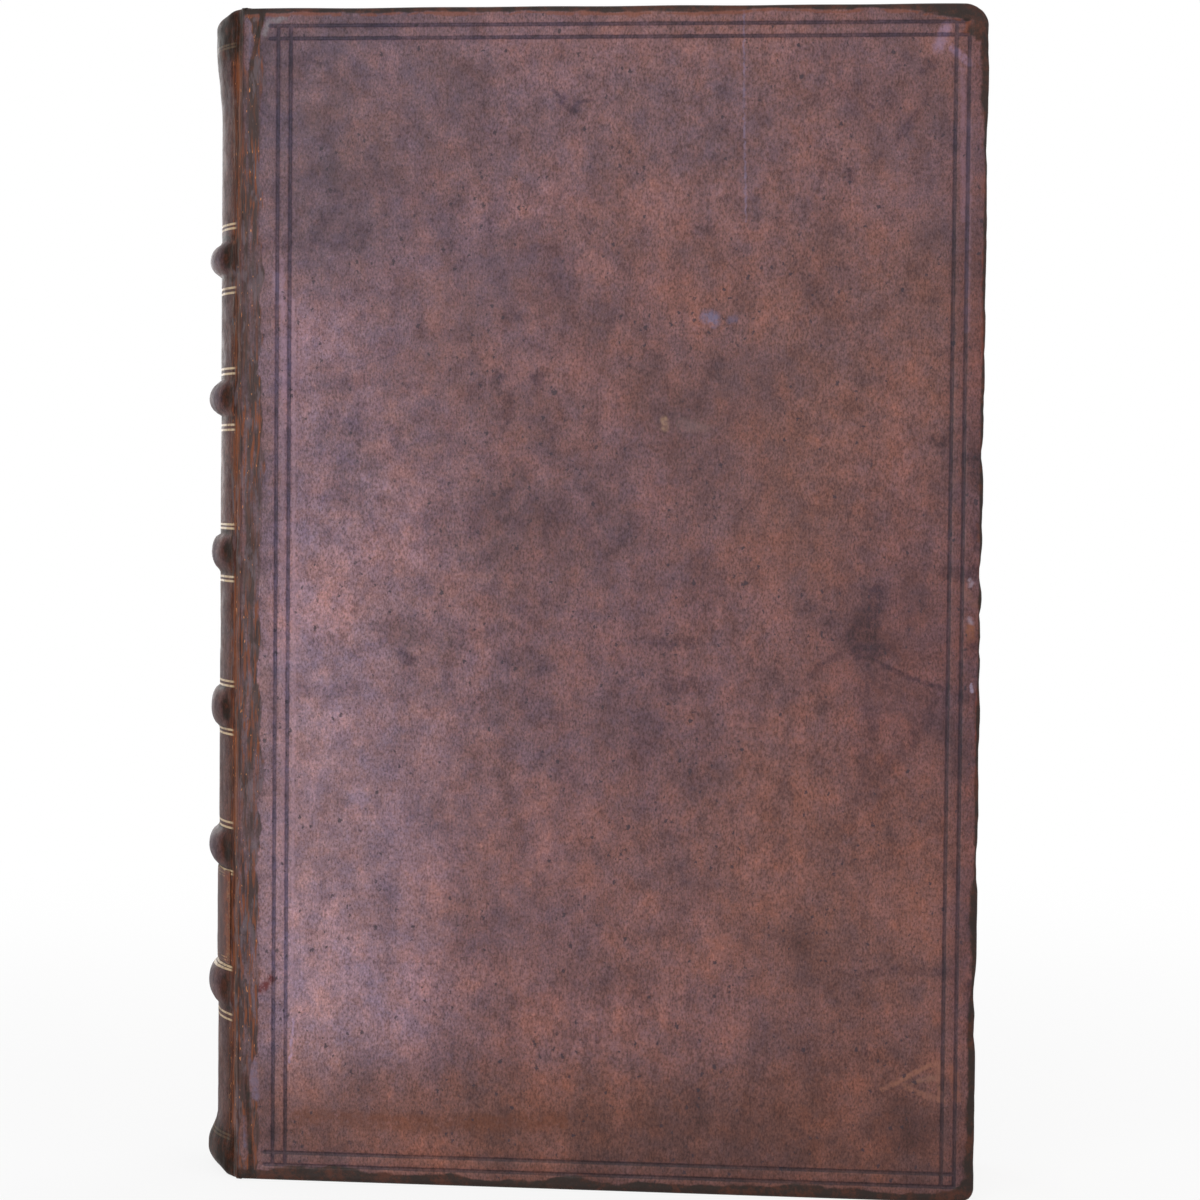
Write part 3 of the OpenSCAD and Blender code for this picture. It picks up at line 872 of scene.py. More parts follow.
SCRATCHES = [
    ("first arm of the gouge", ((553, 90), (567, 103)), 0.6, 0.9),
    ("second arm of the gouge", ((570, 103), (592, 100)), 0.6, 0.8),
    ("third arm of the gouge", ((567, 104), (573, 120)), 0.5, 0.8),
    ("scar near the head", ((313, 61), (320, 63), (328, 65)), 0.5, 0.9),
    ("scratch by the upper corner", ((866, 102), (873, 107)), 0.6, 0.9),
    # painted shade along the crease over the sixth band
    ("fine line over the sixth band", ((294, 243), (332, 243)), 0.35, 0.7),
    ("fine line at the left", ((345, 372), (400, 352)), 0.3, 0.5),
    ("nick in the frame", ((866, 1048), (866, 1056)), 0.6, 0.8),
]

# Light and coloured marks: pixels, half width, colour, strength. The shines, glints, light strips and light
# edges are painted highlights.

MARKS = [
    ("wax spot", ((708, 317), (713, 319)), 2.4, (116, 110, 134), 0.8),
    ("wax spot beside it", ((730, 320), (735, 320)), 1.3, (104, 94, 112), 0.7),
    ("pale mark", ((664, 419), (665, 428)), 1.2, (150, 122, 104), 0.75),
    ("pale mark beside it", ((682, 424), (704, 428)), 2.0, (126, 104, 102), 0.45),
    ("triangle, long arm", ((882, 1090), (905, 1079), (922, 1069), (940, 1062)), 0.8, (144, 104, 90), 0.75),
    ("triangle, foot", ((905, 1086), (922, 1094), (942, 1101)), 1.0, (140, 102, 90), 0.7),
    ("triangle, side", ((938, 1066), (940, 1100)), 0.9, (142, 102, 90), 0.65),
    ("triangle, middle", ((914, 1082), (934, 1078)), 0.9, (136, 104, 92), 0.6),
    ("scuff past the frame", ((953, 1068), (957, 1098)), 1.6, (134, 92, 80), 0.65),
    ("brown band at the foot", ((300, 1116), (420, 1124), (560, 1122)), 3.0, (106, 70, 56), 0.5),
    ("red patch by the joint", ((260, 990), (271, 979)), 1.4, (100, 46, 38), 0.9),
    ("shine beside the headcap", ((246, 22), (246, 58)), 1.7, (108, 100, 114), 0.85),
    ("shine by the head corner", ((264, 34), (268, 22), (284, 18)), 1.1, (126, 120, 124), 0.7),
    ("shine at the foot of the joint", ((252, 1062), (255, 1096)), 1.5, (116, 102, 118), 0.8),
    ("lower shine there", ((241, 1118), (243, 1145)), 1.0, (106, 96, 110), 0.8),
    ("shine by the sixth band", ((276, 275), (279, 300)), 1.4, (148, 126, 142), 0.6),
    ("light strip in the frame, high", ((282, 260), (284, 400)), 0.9, (150, 122, 138), 0.5),
    ("light strip in the frame", ((282, 400), (283, 900)), 0.8, (146, 118, 130), 0.35),
    ("shine by the frame's foot", ((293, 1020), (290, 1062)), 0.5, (170, 148, 176), 0.6),
    ("scuff from the upper edge", ((744, 10), (744, 110), (746, 222)), 0.4, (126, 114, 136), 0.55),
    ("light edge of the left frame", ((293, 300), (294, 640), (292, 1000)), 0.6, (160, 130, 142), 0.45),
    ("shine in the upper corner", ((946, 28), (938, 48)), 1.8, (150, 126, 148), 0.6),
    ("shine in the corner of the frame", ((952, 48), (969, 62)), 1.2, (148, 124, 148), 0.55),
    ("light strip in the right frame", ((963, 70), (963, 220)), 0.8, (140, 110, 122), 0.5),
    ("light strip at the fore-edge", ((969, 120), (967, 330)), 1.0, (134, 108, 120), 0.45),
    ("glint on the fore-edge", ((969, 581), (971, 584)), 0.9, (150, 136, 148), 0.7),
    ("second glint", ((969, 619), (971, 623)), 0.9, (150, 136, 148), 0.7),
    ("light edge of the dent", ((963, 590), (975, 604)), 1.6, (126, 92, 84), 0.5),
    ("rubbed fore-edge", ((978, 690), (977, 790)), 0.7, (126, 68, 44), 0.7),
    ("rubbed fore-edge, high", ((984, 250), (983, 380)), 0.6, (118, 66, 46), 0.6),
    ("rubbed knuckle under it", ((970, 628), (971, 638)), 1.4, (136, 92, 74), 0.7),
    ("third glint", ((971, 686), (972, 691)), 0.6, (160, 148, 168), 0.7),
]


def band_distance(z):
    """Distance from the nearest raised band."""
    return np.min([np.abs(z - b[0]) for b in BANDS], 0)


def rest_frame(points):
    """Where each point lies at rest, for patterns that stay put on the leather."""
    return points * MM


# Width of the dark rim down the fore-edge and along the head: (distance from the corner, width)

CORNER_DOWN = ((0, 5.2), (8, 5.0), (13, 3.4), (22, 2.0), (32, 1.3), (44, 0.8), (240, 0.8), (285, 1.5),
               (325, 2.4), (345, 3.6), (400, 4.6))
CORNER_ALONG = ((0, 5.2), (7, 4.6), (14, 3.4), (22, 2.1), (32, 1.7), (60, 1.5), (400, 1.7))
TAIL_DIRT = 2.6
# How far from the joint the surface of the cover's leather is worn off
JOINT_ZONE = 6.1


def edge_dirt_width(a, z, side):
    """How far in from the edge the leather is blackened by handling."""
    down, along = HEIGHT - z, WIDTH - a
    fore = np.interp(down, *np.transpose(CORNER_DOWN))
    head = np.interp(along, *np.transpose(CORNER_ALONG))
    tail = TAIL_DIRT + 2.5 * bell(along, 6) + 1.2 * bell(a, 18)
    nearest = np.argmin([down, z, along], 0)
    at = spot(a, 77.0 * side, z)
    width = np.choose(nearest, [head, tail, fore])
    return width * (1 + 0.22 * ripple(at, 22, 73) + 0.12 * ripple(at, 6, 74))


# Where the shiny surface of the joint is still whole: pixel of the photograph, half width, half height

WHOLE_PATCHES = [
    ("beside the headcap", 247, 44, 2.0, 8.0),
    ("foot of the joint, outer", 256, 1080, 2.2, 6.5),
    ("foot of the joint, inner", 244, 1138, 1.6, 7.5),
]


def lilac_patches(a, z, side):
    """Where the joint's shiny surface is whole, 0 to 1."""
    total = np.zeros(np.shape(a))
    if side < 0:
        for _, px, py, half_a, half_z in WHOLE_PATCHES:
            da, dz = on_cover(px, py)
            far = np.hypot((a - da) / half_a, (z - dz) / half_z)
            total = np.maximum(total, smooth(far, 1.15, 0.85))
    return total


def stain_clouds(a, z):
    """What the wide, soft stains leave of the colour of the front cover."""
    at = spot(a, 91.0, z)
    left = np.ones(np.shape(a))
    for _, pixels, half, share in STAINS_AND_SHADE:
        if half >= SOFT_STAIN:
            distance, _ = along_pixels(a, z, pixels)
            distance = distance + 2.2 * ripple(at, 12, 75) + 1.0 * ripple(at, 5, 76)
            cover = smooth(distance, STROKE_NONE * half, STROKE_FULL * half)
            left = np.minimum(left, 1 - CLOUD_SHARE * share * cover)
    return 1 - (1 - left)[:, None] * (1 - np.array(STAIN_AND_SHADE_TINT))


def cover_attributes(flat, xyz, side):
    """What the leather's material reads on a cover: flat is (a, z, depth)."""
    a, z, depth = flat.T
    tone = region_tone(a, z, side)
    if side < 0:
        tone = tone * stain_clouds(a, z)
    # blackened by handling along the edges, and rubbed beside that
    edge = np.minimum(np.minimum(z / 1.15, HEIGHT - z), WIDTH - a)
    dark_width = edge_dirt_width(a, z, side)
    rim = smooth(edge, dark_width + 1.1, dark_width - 0.6)
    beside_rim = bell(edge - dark_width - 0.7, 0.9) * np.where(HEIGHT - z < 9, 0.9, 0.45)
    edge_wear = np.maximum(beside_rim, 0.7 * smooth(edge, 2.0, 0.4))
    # bare fibres from the joint to a ragged line; painted shade in the folds beside the headcaps; darker
    # round the board's edge and inside, and round the bands near the joint
    at = spot(0.0, 60.0 * side, z)
    joint_edge = JOINT_ZONE + 0.7 * ripple(at, 28, 71) + 0.35 * ripple(at, 6, 72)
    joint_wear = smooth(a, joint_edge + 1.2, joint_edge - 1.6) * (1 - lilac_patches(a, z, side))
    caps = nip(a, z)
    inner = smooth(depth, 1.5, 3.5) * 0.5
    around = smooth(a, 9, 4) * smooth(band_distance(z), 8, 4) * 0.35
    grime_and_shade = np.clip(np.max([rim, caps, inner, around], 0), 0, 1)
    return {
        "rest": rest_frame(xyz),
        "tone": np.concatenate([tone, np.ones((len(a), 1))], 1),
        "fillet": np.where(depth < FACE_END, fillet_distance(a, z), NO_LINE),
        "wear": np.clip(edge_wear, 0, 1),
        "fibre": joint_wear,
        "grime_and_shade": grime_and_shade,
        "crack": np.zeros(len(a)),
        "gilt": np.zeros(len(a)),
    }


def spine_attributes(theta, z, xyz):
    """What the leather's material reads on the spine."""
    turn = np.abs(theta)
    count = len(turn)
    near_joint = smooth(turn, math.radians(33), math.radians(38))[:, None]
    tone = linear(SPINE_TONE) * (1 - near_joint) + linear((92, 62, 48)) * near_joint
    # painted highlight: the raised bands and caps are lighter and lilac on their crests, where the light
    # catches them
    knob = smooth(spine_lift(turn, z), 1.0, 2.6)[:, None] * 0.75
    tone = tone * (1 - knob) + linear((100, 88, 94)) * knob
    tone = np.maximum(tone - SHEEN, 0.01)
    # painted shade in the pits and at the feet of the bands, and dark headcaps
    d = band_distance(z)
    pit = bell(turn - PIT_AT, math.radians(5.5)) * bell(d, 5.0)
    foot = 0.7 * bell(d - 6.2, 1.5) * smooth(turn, math.radians(44), math.radians(36))
    ends = smooth(np.minimum(z, HEIGHT - z), 22, 9) * 0.96
    grime_and_shade = np.clip(np.max([pit, foot, ends, 0.35 * near_joint[:, 0]], 0), 0, 1)
    return {
        "rest": rest_frame(xyz),
        "tone": np.concatenate([tone, np.ones((count, 1))], 1),
        "fillet": np.full(count, NO_LINE),
        "wear": smooth(np.minimum(z, HEIGHT - z), 3, 0.3) * 0.6,
        "fibre": smooth(turn, math.radians(34.5), math.radians(38)),
        "grime_and_shade": grime_and_shade,
        "crack": bell(turn - SPLIT_AT, math.radians(2.2)) * smooth(d, 5, 8),
        "gilt": smooth(turn, math.radians(40), math.radians(37)) * (1 - 0.9 * (ends > 0.01)),
    }


# Node trees

class Tree:
    """A material's nodes, with one short call for each kind that is used here."""

    def __init__(self, name):
        self.material = bpy.data.materials.new(name)
        self.material.use_nodes = True
        self.nodes = self.material.node_tree.nodes
        self.links = self.material.node_tree.links
        self.nodes.clear()
        self.shader = self.nodes.new("ShaderNodeBsdfPrincipled")
        output = self.nodes.new("ShaderNodeOutputMaterial")
        self.links.new(self.shader.outputs["BSDF"], output.inputs["Surface"])

    def put(self, socket, value):
        """Sets an input from a number, a colour or another node's output."""
        if isinstance(value, bpy.types.NodeSocket):
            self.links.new(value, socket)
        elif hasattr(socket.default_value, "__len__"):
            size = len(socket.default_value)
            value = [value] * 3 if isinstance(value, (int, float)) else [float(v) for v in value]
            socket.default_value = (value + [1.0])[:size] if size == 4 else value[:size]
        else:
            socket.default_value = float(value)

    def fill(self, node, inputs):
        """Sets inputs of a node, given by name or number, and hands back its outputs."""
        for key, value in inputs.items():
            self.put(node.inputs[key], value)
        return node.outputs

    def attribute(self, name, output="Fac"):
        node = self.nodes.new("ShaderNodeAttribute")
        node.attribute_name = name
        return node.outputs[output]

    def math(self, operation, a, b=0.0, c=0.0):
        node = self.nodes.new("ShaderNodeMath")
        node.operation = operation
        return self.fill(node, {0: a, 1: b, 2: c})[0]

    def times(self, a, b):
        return self.math("MULTIPLY", a, b)

    def plus(self, a, b):
        return self.math("ADD", a, b)

    def vector(self, operation, a, b=(0, 0, 0)):
        node = self.nodes.new("ShaderNodeVectorMath")
        node.operation = operation
        outputs = self.fill(node, {0: a, "Scale" if operation == "SCALE" else 1: b})
        return outputs["Value" if operation in ("DOT_PRODUCT", "DISTANCE", "LENGTH") else "Vector"]

    def ramp(self, value, low, high, to_low=0.0, to_high=1.0):
        """Maps low..high smoothly onto to_low..to_high."""
        node = self.nodes.new("ShaderNodeMapRange")
        node.interpolation_type = "SMOOTHSTEP"
        return self.fill(node, {"Value": value, "From Min": low, "From Max": high,
                                "To Min": to_low, "To Max": to_high})[0]

    def noise(self, vector, size, detail=3.0, roughness=0.55, warp=0.0):
        """Noise whose blobs are about this many millimetres across."""
        node = self.nodes.new("ShaderNodeTexNoise")
        return self.fill(node, {"Vector": vector, "Scale": 1 / (size * MM), "Detail": detail,
                                "Roughness": roughness, "Distortion": warp})["Fac"]

    def shaken(self, vector, size, reach, detail=4.0):
        """The vector moved about by noise of this size, by up to about this many millimetres."""
        node = self.nodes.new("ShaderNodeTexNoise")
        outputs = self.fill(node, {"Vector": vector, "Scale": 1 / (size * MM), "Detail": detail})
        centred = self.vector("SUBTRACT", outputs["Color"], (0.5, 0.5, 0.5))
        return self.vector("ADD", vector, self.vector("SCALE", centred, 2 * reach * MM))

    def strokes(self, place, rows):
        """How much each stroke covers, soft at its edge, for rows of (pixels, half width, share).

        The place has y = 0."""
        for pixels, half, share in rows:
            path = [Vector((HINGE_X + a, 0, z)) * MM for a, z in (on_cover(*p) for p in pixels)]
            nearest = None
            for start, stop in zip(path[:-1], path[1:]):
                run = stop - start
                offset = self.vector("SUBTRACT", place, start)
                along = self.vector("DOT_PRODUCT", offset, run / run.length_squared)
                along = self.math("MINIMUM", self.math("MAXIMUM", along, 0.0), 1.0)
                distance = self.vector("DISTANCE", offset, self.vector("SCALE", run, along))
                nearest = distance if nearest is None else self.math("MINIMUM", nearest, distance)
            yield self.ramp(nearest, STROKE_NONE * half * MM, STROKE_FULL * half * MM, 0.0, share)

    def centred(self, vector, size, detail, roughness, reach):
        """Noise about zero that goes at most half the reach up or down."""
        return self.times(self.math("SUBTRACT", self.noise(vector, size, detail, roughness), 0.5), reach)

    def own_place(self):
        """Where a point lies on its own object."""
        return self.nodes.new("ShaderNodeTexCoord").outputs["Object"]

    def separate(self, kind, value):
        """The parts of a colour or a vector; kind is "Color" or "XYZ"."""
        return self.fill(self.nodes.new("ShaderNodeSeparate" + kind), {0: value})

    def cells(self, vector, size):
        """The outputs of a pattern of cells about this many millimetres apart."""
        node = self.nodes.new("ShaderNodeTexVoronoi")
        return self.fill(node, {"Vector": vector, "Scale": 1 / (size * MM)})

    def mix(self, share, a, b, blend="MIX"):
        node = self.nodes.new("ShaderNodeMix")
        node.data_type = "RGBA"
        node.blend_type = blend
        return self.fill(node, {"Factor": share, 6: a, 7: b})[2]

    def tint(self, colour, by):
        """A colour multiplied by another one."""
        return self.mix(1.0, colour, by, "MULTIPLY")

    def paint(self, colour, share, over):
        """A colour with another one over it, given as 0 to 255."""
        return self.mix(share, colour, linear(over))

    def bump(self, height, distance, strength=1.0):
        node = self.nodes.new("ShaderNodeBump")
        return self.fill(node, {"Height": height, "Distance": distance * MM, "Strength": strength})["Normal"]

    def finish(self, colour, roughness, normal=None, **constants):
        self.put(self.shader.inputs["Base Color"], colour)
        self.put(self.shader.inputs["Roughness"], roughness)
        if normal is not None:
            self.put(self.shader.inputs["Normal"], normal)
        for key, value in constants.items():
            self.put(self.shader.inputs[key.replace("_", " ")], value)
        return self.material


def calf_material(name, shine=0.22, marked=False, gilded=False):
    """Sprinkled, worn calf. What is worn or tooled is read from the mesh.

    marked adds the front cover's stains and marks, painted shade and painted highlights among them, gilded
    the double lines beside each band."""
    t = Tree(name)
    rest = t.attribute("rest", "Vector")
    tone = t.attribute("tone", "Color")
    upright = t.vector("MULTIPLY", rest, (1, 1, 0.10))
    lengthwise = t.vector("MULTIPLY", rest, (1, 1, 0.35))

    # mottling, from palm-sized clouds down to the grain: where, low, high, share, tint
    fine_grain = t.vector("MULTIPLY", rest, (1, 1, 0.6))
    clouds = t.noise(rest, 40, 3, 0.6)
    smudges = t.noise(rest, 15, 4, 0.62, 0.5)
    tall = t.noise(lengthwise, 9, 4, 0.65)
    patches = t.noise(rest, 5.0, 4, 0.7)
    flecks = t.noise(fine_grain, 1.9, 2, 0.72)
    pores = t.noise(fine_grain, 0.6, 1, 0.75)
    hues = t.noise(t.vector("ADD", rest, (3.0, 1.0, 2.0)), 7, 4, 0.82)
    broad_hues = t.noise(t.vector("ADD", rest, (7.0, 5.0, 1.0)), 34, 2, 0.6)
    colour = tone
    for where, low, high, share, tint in (
            (clouds, 0.50, 0.64, 0.75, (0.74, 0.74, 0.77)), (clouds, 0.50, 0.36, 0.75, (1.22, 1.16, 1.10)),
            (smudges, 0.50, 0.66, 0.60, (0.72, 0.72, 0.75)), (smudges, 0.50, 0.34, 0.60, (1.25, 1.18, 1.12)),
            (tall, 0.50, 0.68, 0.65, (0.72, 0.72, 0.75)), (tall, 0.50, 0.32, 0.65, (1.25, 1.19, 1.12)),
            (patches, 0.50, 0.70, 0.60, (0.68, 0.68, 0.71)), (patches, 0.50, 0.30, 0.60, (1.28, 1.20, 1.12)),
            (flecks, 0.52, 0.72, 0.55, (0.60, 0.58, 0.61)), (flecks, 0.48, 0.30, 0.50, (1.28, 1.24, 1.20)),
            (pores, 0.51, 0.68, 0.85, (0.58, 0.55, 0.53)), (pores, 0.49, 0.34, 0.80, (1.36, 1.38, 1.42)),
            (hues, 0.50, 0.62, 0.60, (1.14, 1.00, 0.84)), (hues, 0.50, 0.38, 0.60, (0.87, 0.99, 1.16)),
            (broad_hues, 0.50, 0.62, 0.35, (1.10, 1.00, 0.86)),
            (broad_hues, 0.50, 0.38, 0.35, (0.90, 0.98, 1.10))):
        colour = t.mix(t.ramp(where, low, high, 0.0, share), colour, t.tint(colour, tint))

    # stains with ragged edges, scratches and light marks, with painted shade in creases and dents and painted
    # highlights among them
    if marked:
        flat = t.vector("MULTIPLY", rest, (1, 0, 1))
        ragged = t.shaken(flat, 5, 2.0, 3)
        frayed = t.shaken(flat, 2.0, 0.9, 2)
        stain = 0.0
        for place, rows in ((ragged, [s for s in STAINS_AND_SHADE if 1.5 < s[2] < SOFT_STAIN]),
                            (frayed, [s for s in STAINS_AND_SHADE if s[2] <= 1.5]), (flat, SCRATCHES)):
            for cover in t.strokes(place, [row[1:] for row in rows]):
                stain = t.math("MAXIMUM", stain, cover)
        uneven = t.ramp(t.noise(rest, 2.4, 3, 0.75), 0.36, 0.58, 0.30, 1.0)
        stain = t.times(stain, uneven)
        colour = t.mix(stain, colour, t.tint(colour, STAIN_AND_SHADE_TINT))
        covers = t.strokes(frayed, [(pixels, half, strength) for _, pixels, half, _, strength in MARKS])
        for cover, mark in zip(covers, MARKS):
            shade = np.maximum(linear(mark[3]) - SHEEN, 0.01)
            colour = t.mix(t.times(cover, uneven), colour, shade)

    # sprinkling: dark dots of several sizes, in drifts
    drift = t.noise(rest, 22, 2)
    loose = t.vector("MULTIPLY", t.shaken(rest, 0.8, 0.75, 1), (1, 1, 0.75))
    for size, reach, share, seed in ((9.0, 0.10, 0.5, 5.2), (3.8, 0.13, 0.75, 0.0), (2.2, 0.17, 0.8, 3.7)):
        moved = t.vector("ADD", loose, (seed, seed, seed))
        cells = t.cells(moved, size)
        chance = t.separate("Color", cells["Color"])
        radius = t.times(chance[0], reach)
        present = t.math("LESS_THAN", chance[1], t.ramp(drift, 0.3, 0.7, share * 0.3, share * 1.3))
        outside = t.math("SUBTRACT", cells["Distance"], radius)
        dot = t.times(t.ramp(outside, 0.25 / size, -0.05 / size), present)
        colour = t.paint(colour, t.times(dot, 0.82), (50, 40, 48))

    # blind tooling, darker and bluer, rubbed away in places
    fillet = t.attribute("fillet")
    wobble = t.centred(rest, 4, 2, 0.55, 0.4)
    line = t.ramp(t.plus(fillet, wobble), 0.78, 0.42)
    rubbed = t.ramp(t.noise(rest, 14, 3, 0.65), 0.30, 0.60, 0.70, 1.0)
    line = t.times(line, rubbed)
    colour = t.mix(t.times(line, 0.92), colour, t.tint(colour, (0.31, 0.35, 0.49)))

    # fibres in the worn joints
    bare = t.attribute("fibre")
    torn = t.centred(lengthwise, 3.2, 3, 0.7, 1.5)
    fibre = t.times(t.ramp(t.plus(bare, torn), 0.35, 0.65), t.ramp(bare, 0.0, 0.12))
    threads = t.noise(upright, 0.9, 2, 0.7)
    broad = t.noise(upright, 2.6, 2, 0.6)
    dark = t.times(fibre, t.ramp(broad, 0.36, 0.58, 0.35, 0.95))
    colour = t.paint(colour, dark, (52, 36, 32))
    scraps = t.times(fibre, t.ramp(t.noise(lengthwise, 3.6, 3, 0.65), 0.53, 0.60, 0.0, 0.5))
    colour = t.paint(colour, scraps, (98, 84, 90))
    rust = t.times(fibre, t.ramp(threads, 0.50, 0.62, 0.0, 0.90))
    rust = t.times(rust, t.ramp(drift, 0.36, 0.58, 0.25, 1.0))
    colour = t.paint(colour, rust, (116, 66, 44))
    split_open = t.attribute("crack")
    crack = t.times(split_open, t.ramp(t.noise(upright, 1.6, 2, 0.6), 0.40, 0.60, 0.1, 0.85))
    colour = t.paint(colour, crack, (120, 66, 38))
    glint = t.times(fibre, t.ramp(t.noise(lengthwise, 0.7, 1, 0.5), 0.70, 0.76, 0.0, 0.8))
    colour = t.paint(colour, glint, (196, 128, 78))

    # rubbed edges
    wear = t.attribute("wear")
    rubbing = t.plus(wear, t.centred(rest, 9, 4, 0.75, 2.6))
    rubbing = t.times(t.ramp(rubbing, 0.50, 0.90), wear)
    colour = t.paint(colour, t.times(rubbing, 0.85), (112, 60, 40))

    # blackening from handling, and painted shade in the folds, the pits and at the feet of the bands
    grime_and_shade = t.attribute("grime_and_shade")
    dirt_and_shade = t.plus(grime_and_shade, t.centred(rest, 3.5, 3, 0.7, 0.8))
    dirt_and_shade = t.times(t.ramp(dirt_and_shade, 0.30, 0.80), t.ramp(grime_and_shade, 0.0, 0.25))
    soil = t.mix(t.ramp(hues, 0.44, 0.66), linear((32, 22, 17)), linear((72, 38, 26)))
    colour = t.mix(t.times(dirt_and_shade, 0.95), colour, soil)

    # gilt double lines above and below each band
    gold = 0.0
    if gilded:
        height = t.separate("XYZ", rest)["Z"]
        nearest = 1.0
        for line in GILT_LINES:
            away = t.math("ABSOLUTE", t.math("SUBTRACT", height, line * MM))
            nearest = t.math("MINIMUM", nearest, away)
        gold = t.times(t.ramp(nearest, 0.40 * MM, 0.24 * MM), t.attribute("gilt"))
        gold = t.times(gold, t.ramp(t.noise(rest, 3.0, 3, 0.7), 0.36, 0.50, 0.50, 0.95))
        colour = t.paint(colour, gold, (190, 164, 130))

    # gloss and grain
    gloss = t.ramp(patches, 0.3, 0.7, 0.40, 0.56)
    gloss = t.plus(gloss, t.times(rust, 0.25))
    gloss = t.math("SUBTRACT", gloss, t.times(gold, 0.18))
    pebbles = t.noise(rest, 3.6, 2, 0.75)
    grain = t.plus(t.times(pores, 0.5), t.times(pebbles, 0.9))
    grain = t.plus(grain, t.times(t.times(threads, bare), 2.0))
    normal = t.bump(grain, 0.16, 0.8)
    return t.finish(colour, gloss, normal, Specular_IOR_Level=shine)


def simple_material(name, colour, size, spread=0.25, roughness=0.75, stretch=(1, 1, 1), grain=0.1):
    """A plain mottled material: one colour, lighter and darker at the given scale, with a light grain."""
    t = Tree(name)
    place = t.own_place()
    vector = t.vector("MULTIPLY", place, stretch)
    cloud = t.noise(vector, size, 5, 0.6)
    fine = t.noise(vector, size / 7, 4, 0.6)
    base = linear(colour)
    shade = t.mix(t.ramp(cloud, 0.3, 0.7), base * (1 - spread), np.minimum(base * (1 + spread), 1))
    darker = t.tint(shade, (0.72, 0.70, 0.68))
    shade = t.mix(t.ramp(fine, 0.35, 0.65, 0.0, 0.35), shade, darker)
    normal = t.bump(fine, grain, 0.6)
    return t.finish(shade, roughness, normal, Specular_IOR_Level=0.3)


# Pieces of leather

# How far beyond a mark its ragged edge may reach, with a face's width to spare
MARK_REACH = 5.0


def near_marks(a, z):
    """Which places of the front cover lie near a stain, painted shade, scratch or mark that is drawn in its
    material; painted highlights are among the marks.
    """
    near = np.zeros(np.shape(a), bool)
    drawn = [row for row in STAINS_AND_SHADE if row[2] < SOFT_STAIN]
    for _, pixels, half, *_ in drawn + SCRATCHES + MARKS:
        distance, _ = along_pixels(a, z, pixels)
        near |= distance < STROKE_NONE * half + MARK_REACH
    return near


def make_cover(side, name, calf, marked=None):
    """The leather of a cover; a marked material is worn only near the marks."""
    flat, faces = cover_sheet(side)
    xyz = cover_xyz(flat[:, 0], flat[:, 1], flat[:, 2], side)
    piece = make_mesh(name, xyz, faces, cover_attributes(flat, xyz, side))
    piece.data.materials.append(calf)
    if marked:
        piece.data.materials.append(marked)
        worn = near_marks(flat[:, 0], flat[:, 1])[faces].any(1)
        piece.data.polygons.foreach_set("material_index", worn.astype(np.int32))
    thicken(piece, SKIN_T)
    return piece


def grid_piece(name, grid, attributes, material, flip, thickness):
    """A sheet of leather or paper, from the grid of its open face."""
    index = np.arange(grid[..., 0].size).reshape(grid.shape[:2])
    piece = make_mesh(name, grid.reshape(-1, 3), quads(index, flip), attributes)
    piece.data.materials.append(material)
    thicken(piece, thickness)
    return piece


def make_spine(calf):
    """The leather over the spine, turned in at both ends."""
    thetas = np.linspace(-THETA_END, THETA_END, SPINE_COLUMNS)
    theta, z = np.meshgrid(thetas, FULL_ROWS, indexing="ij")
    grid = spine_point(theta, z)
    inward = spot(np.cos(thetas), -np.sin(thetas), 0.0)
    grid = end_lip(grid, inward)
    lip = (grid.shape[1] - len(FULL_ROWS)) // 2
    theta = np.repeat(thetas[:, None], grid.shape[1], 1)
    z = np.concatenate([np.repeat(z[:, :1], lip, 1), z, np.repeat(z[:, -1:], lip, 1)], 1)
    values = spine_attributes(theta.ravel(), z.ravel(), grid.reshape(-1, 3))
    return grid_piece("spine_skin", grid, values, calf, True, SKIN_T)


def make_joint(side, name, calf):
    """The leather between the spine and a cover; its looks pass from one to the other."""
    grid = strip_points(side)
    turns = [value if kind == "spine" else JOINT_ANGLE for kind, value in strip_curve()]
    inward = np.array([[math.cos(t), -side * math.sin(t), 0] for t in turns])
    grid = end_lip(grid, inward)
    lip = (grid.shape[1] - len(FULL_ROWS)) // 2
    rows = np.concatenate([np.full(lip, FULL_ROWS[0]), FULL_ROWS, np.full(lip, FULL_ROWS[-1])])
    xyz = grid.reshape(-1, 3)
    z = np.tile(rows, grid.shape[0])
    a = np.repeat([value if kind == "cover" else 0 for kind, value in strip_curve()], len(rows))
    theta = np.repeat(turns, len(rows))
    cover = cover_attributes(spot(a, np.clip(z, EDGE, HEIGHT - EDGE), 0.0), xyz, side)
    spine = spine_attributes(theta, z, xyz)
    share = smooth(xyz[:, 0], HINGE_X - STRIP_BEHIND, HINGE_X + STRIP_COVER)
    values = {}
    for key in cover:
        w = share if np.ndim(cover[key]) == 1 else share[:, None]
        values[key] = cover[key] * w + spine[key] * (1 - w)
    values["rest"] = rest_frame(xyz)
    values["gilt"] = np.zeros(len(z))
    return grid_piece(name, grid, values, calf, side > 0, SKIN_T)


# Label

LABEL_HALF = math.radians(37)
LABEL_MARGIN = 1.2
LABEL_T = 0.3
LABEL_COLUMNS = 129
# Distances of the gilt rules from the label's edge, and half their width
RULES = (1.0, 1.9)
RULE_HALF = 0.22


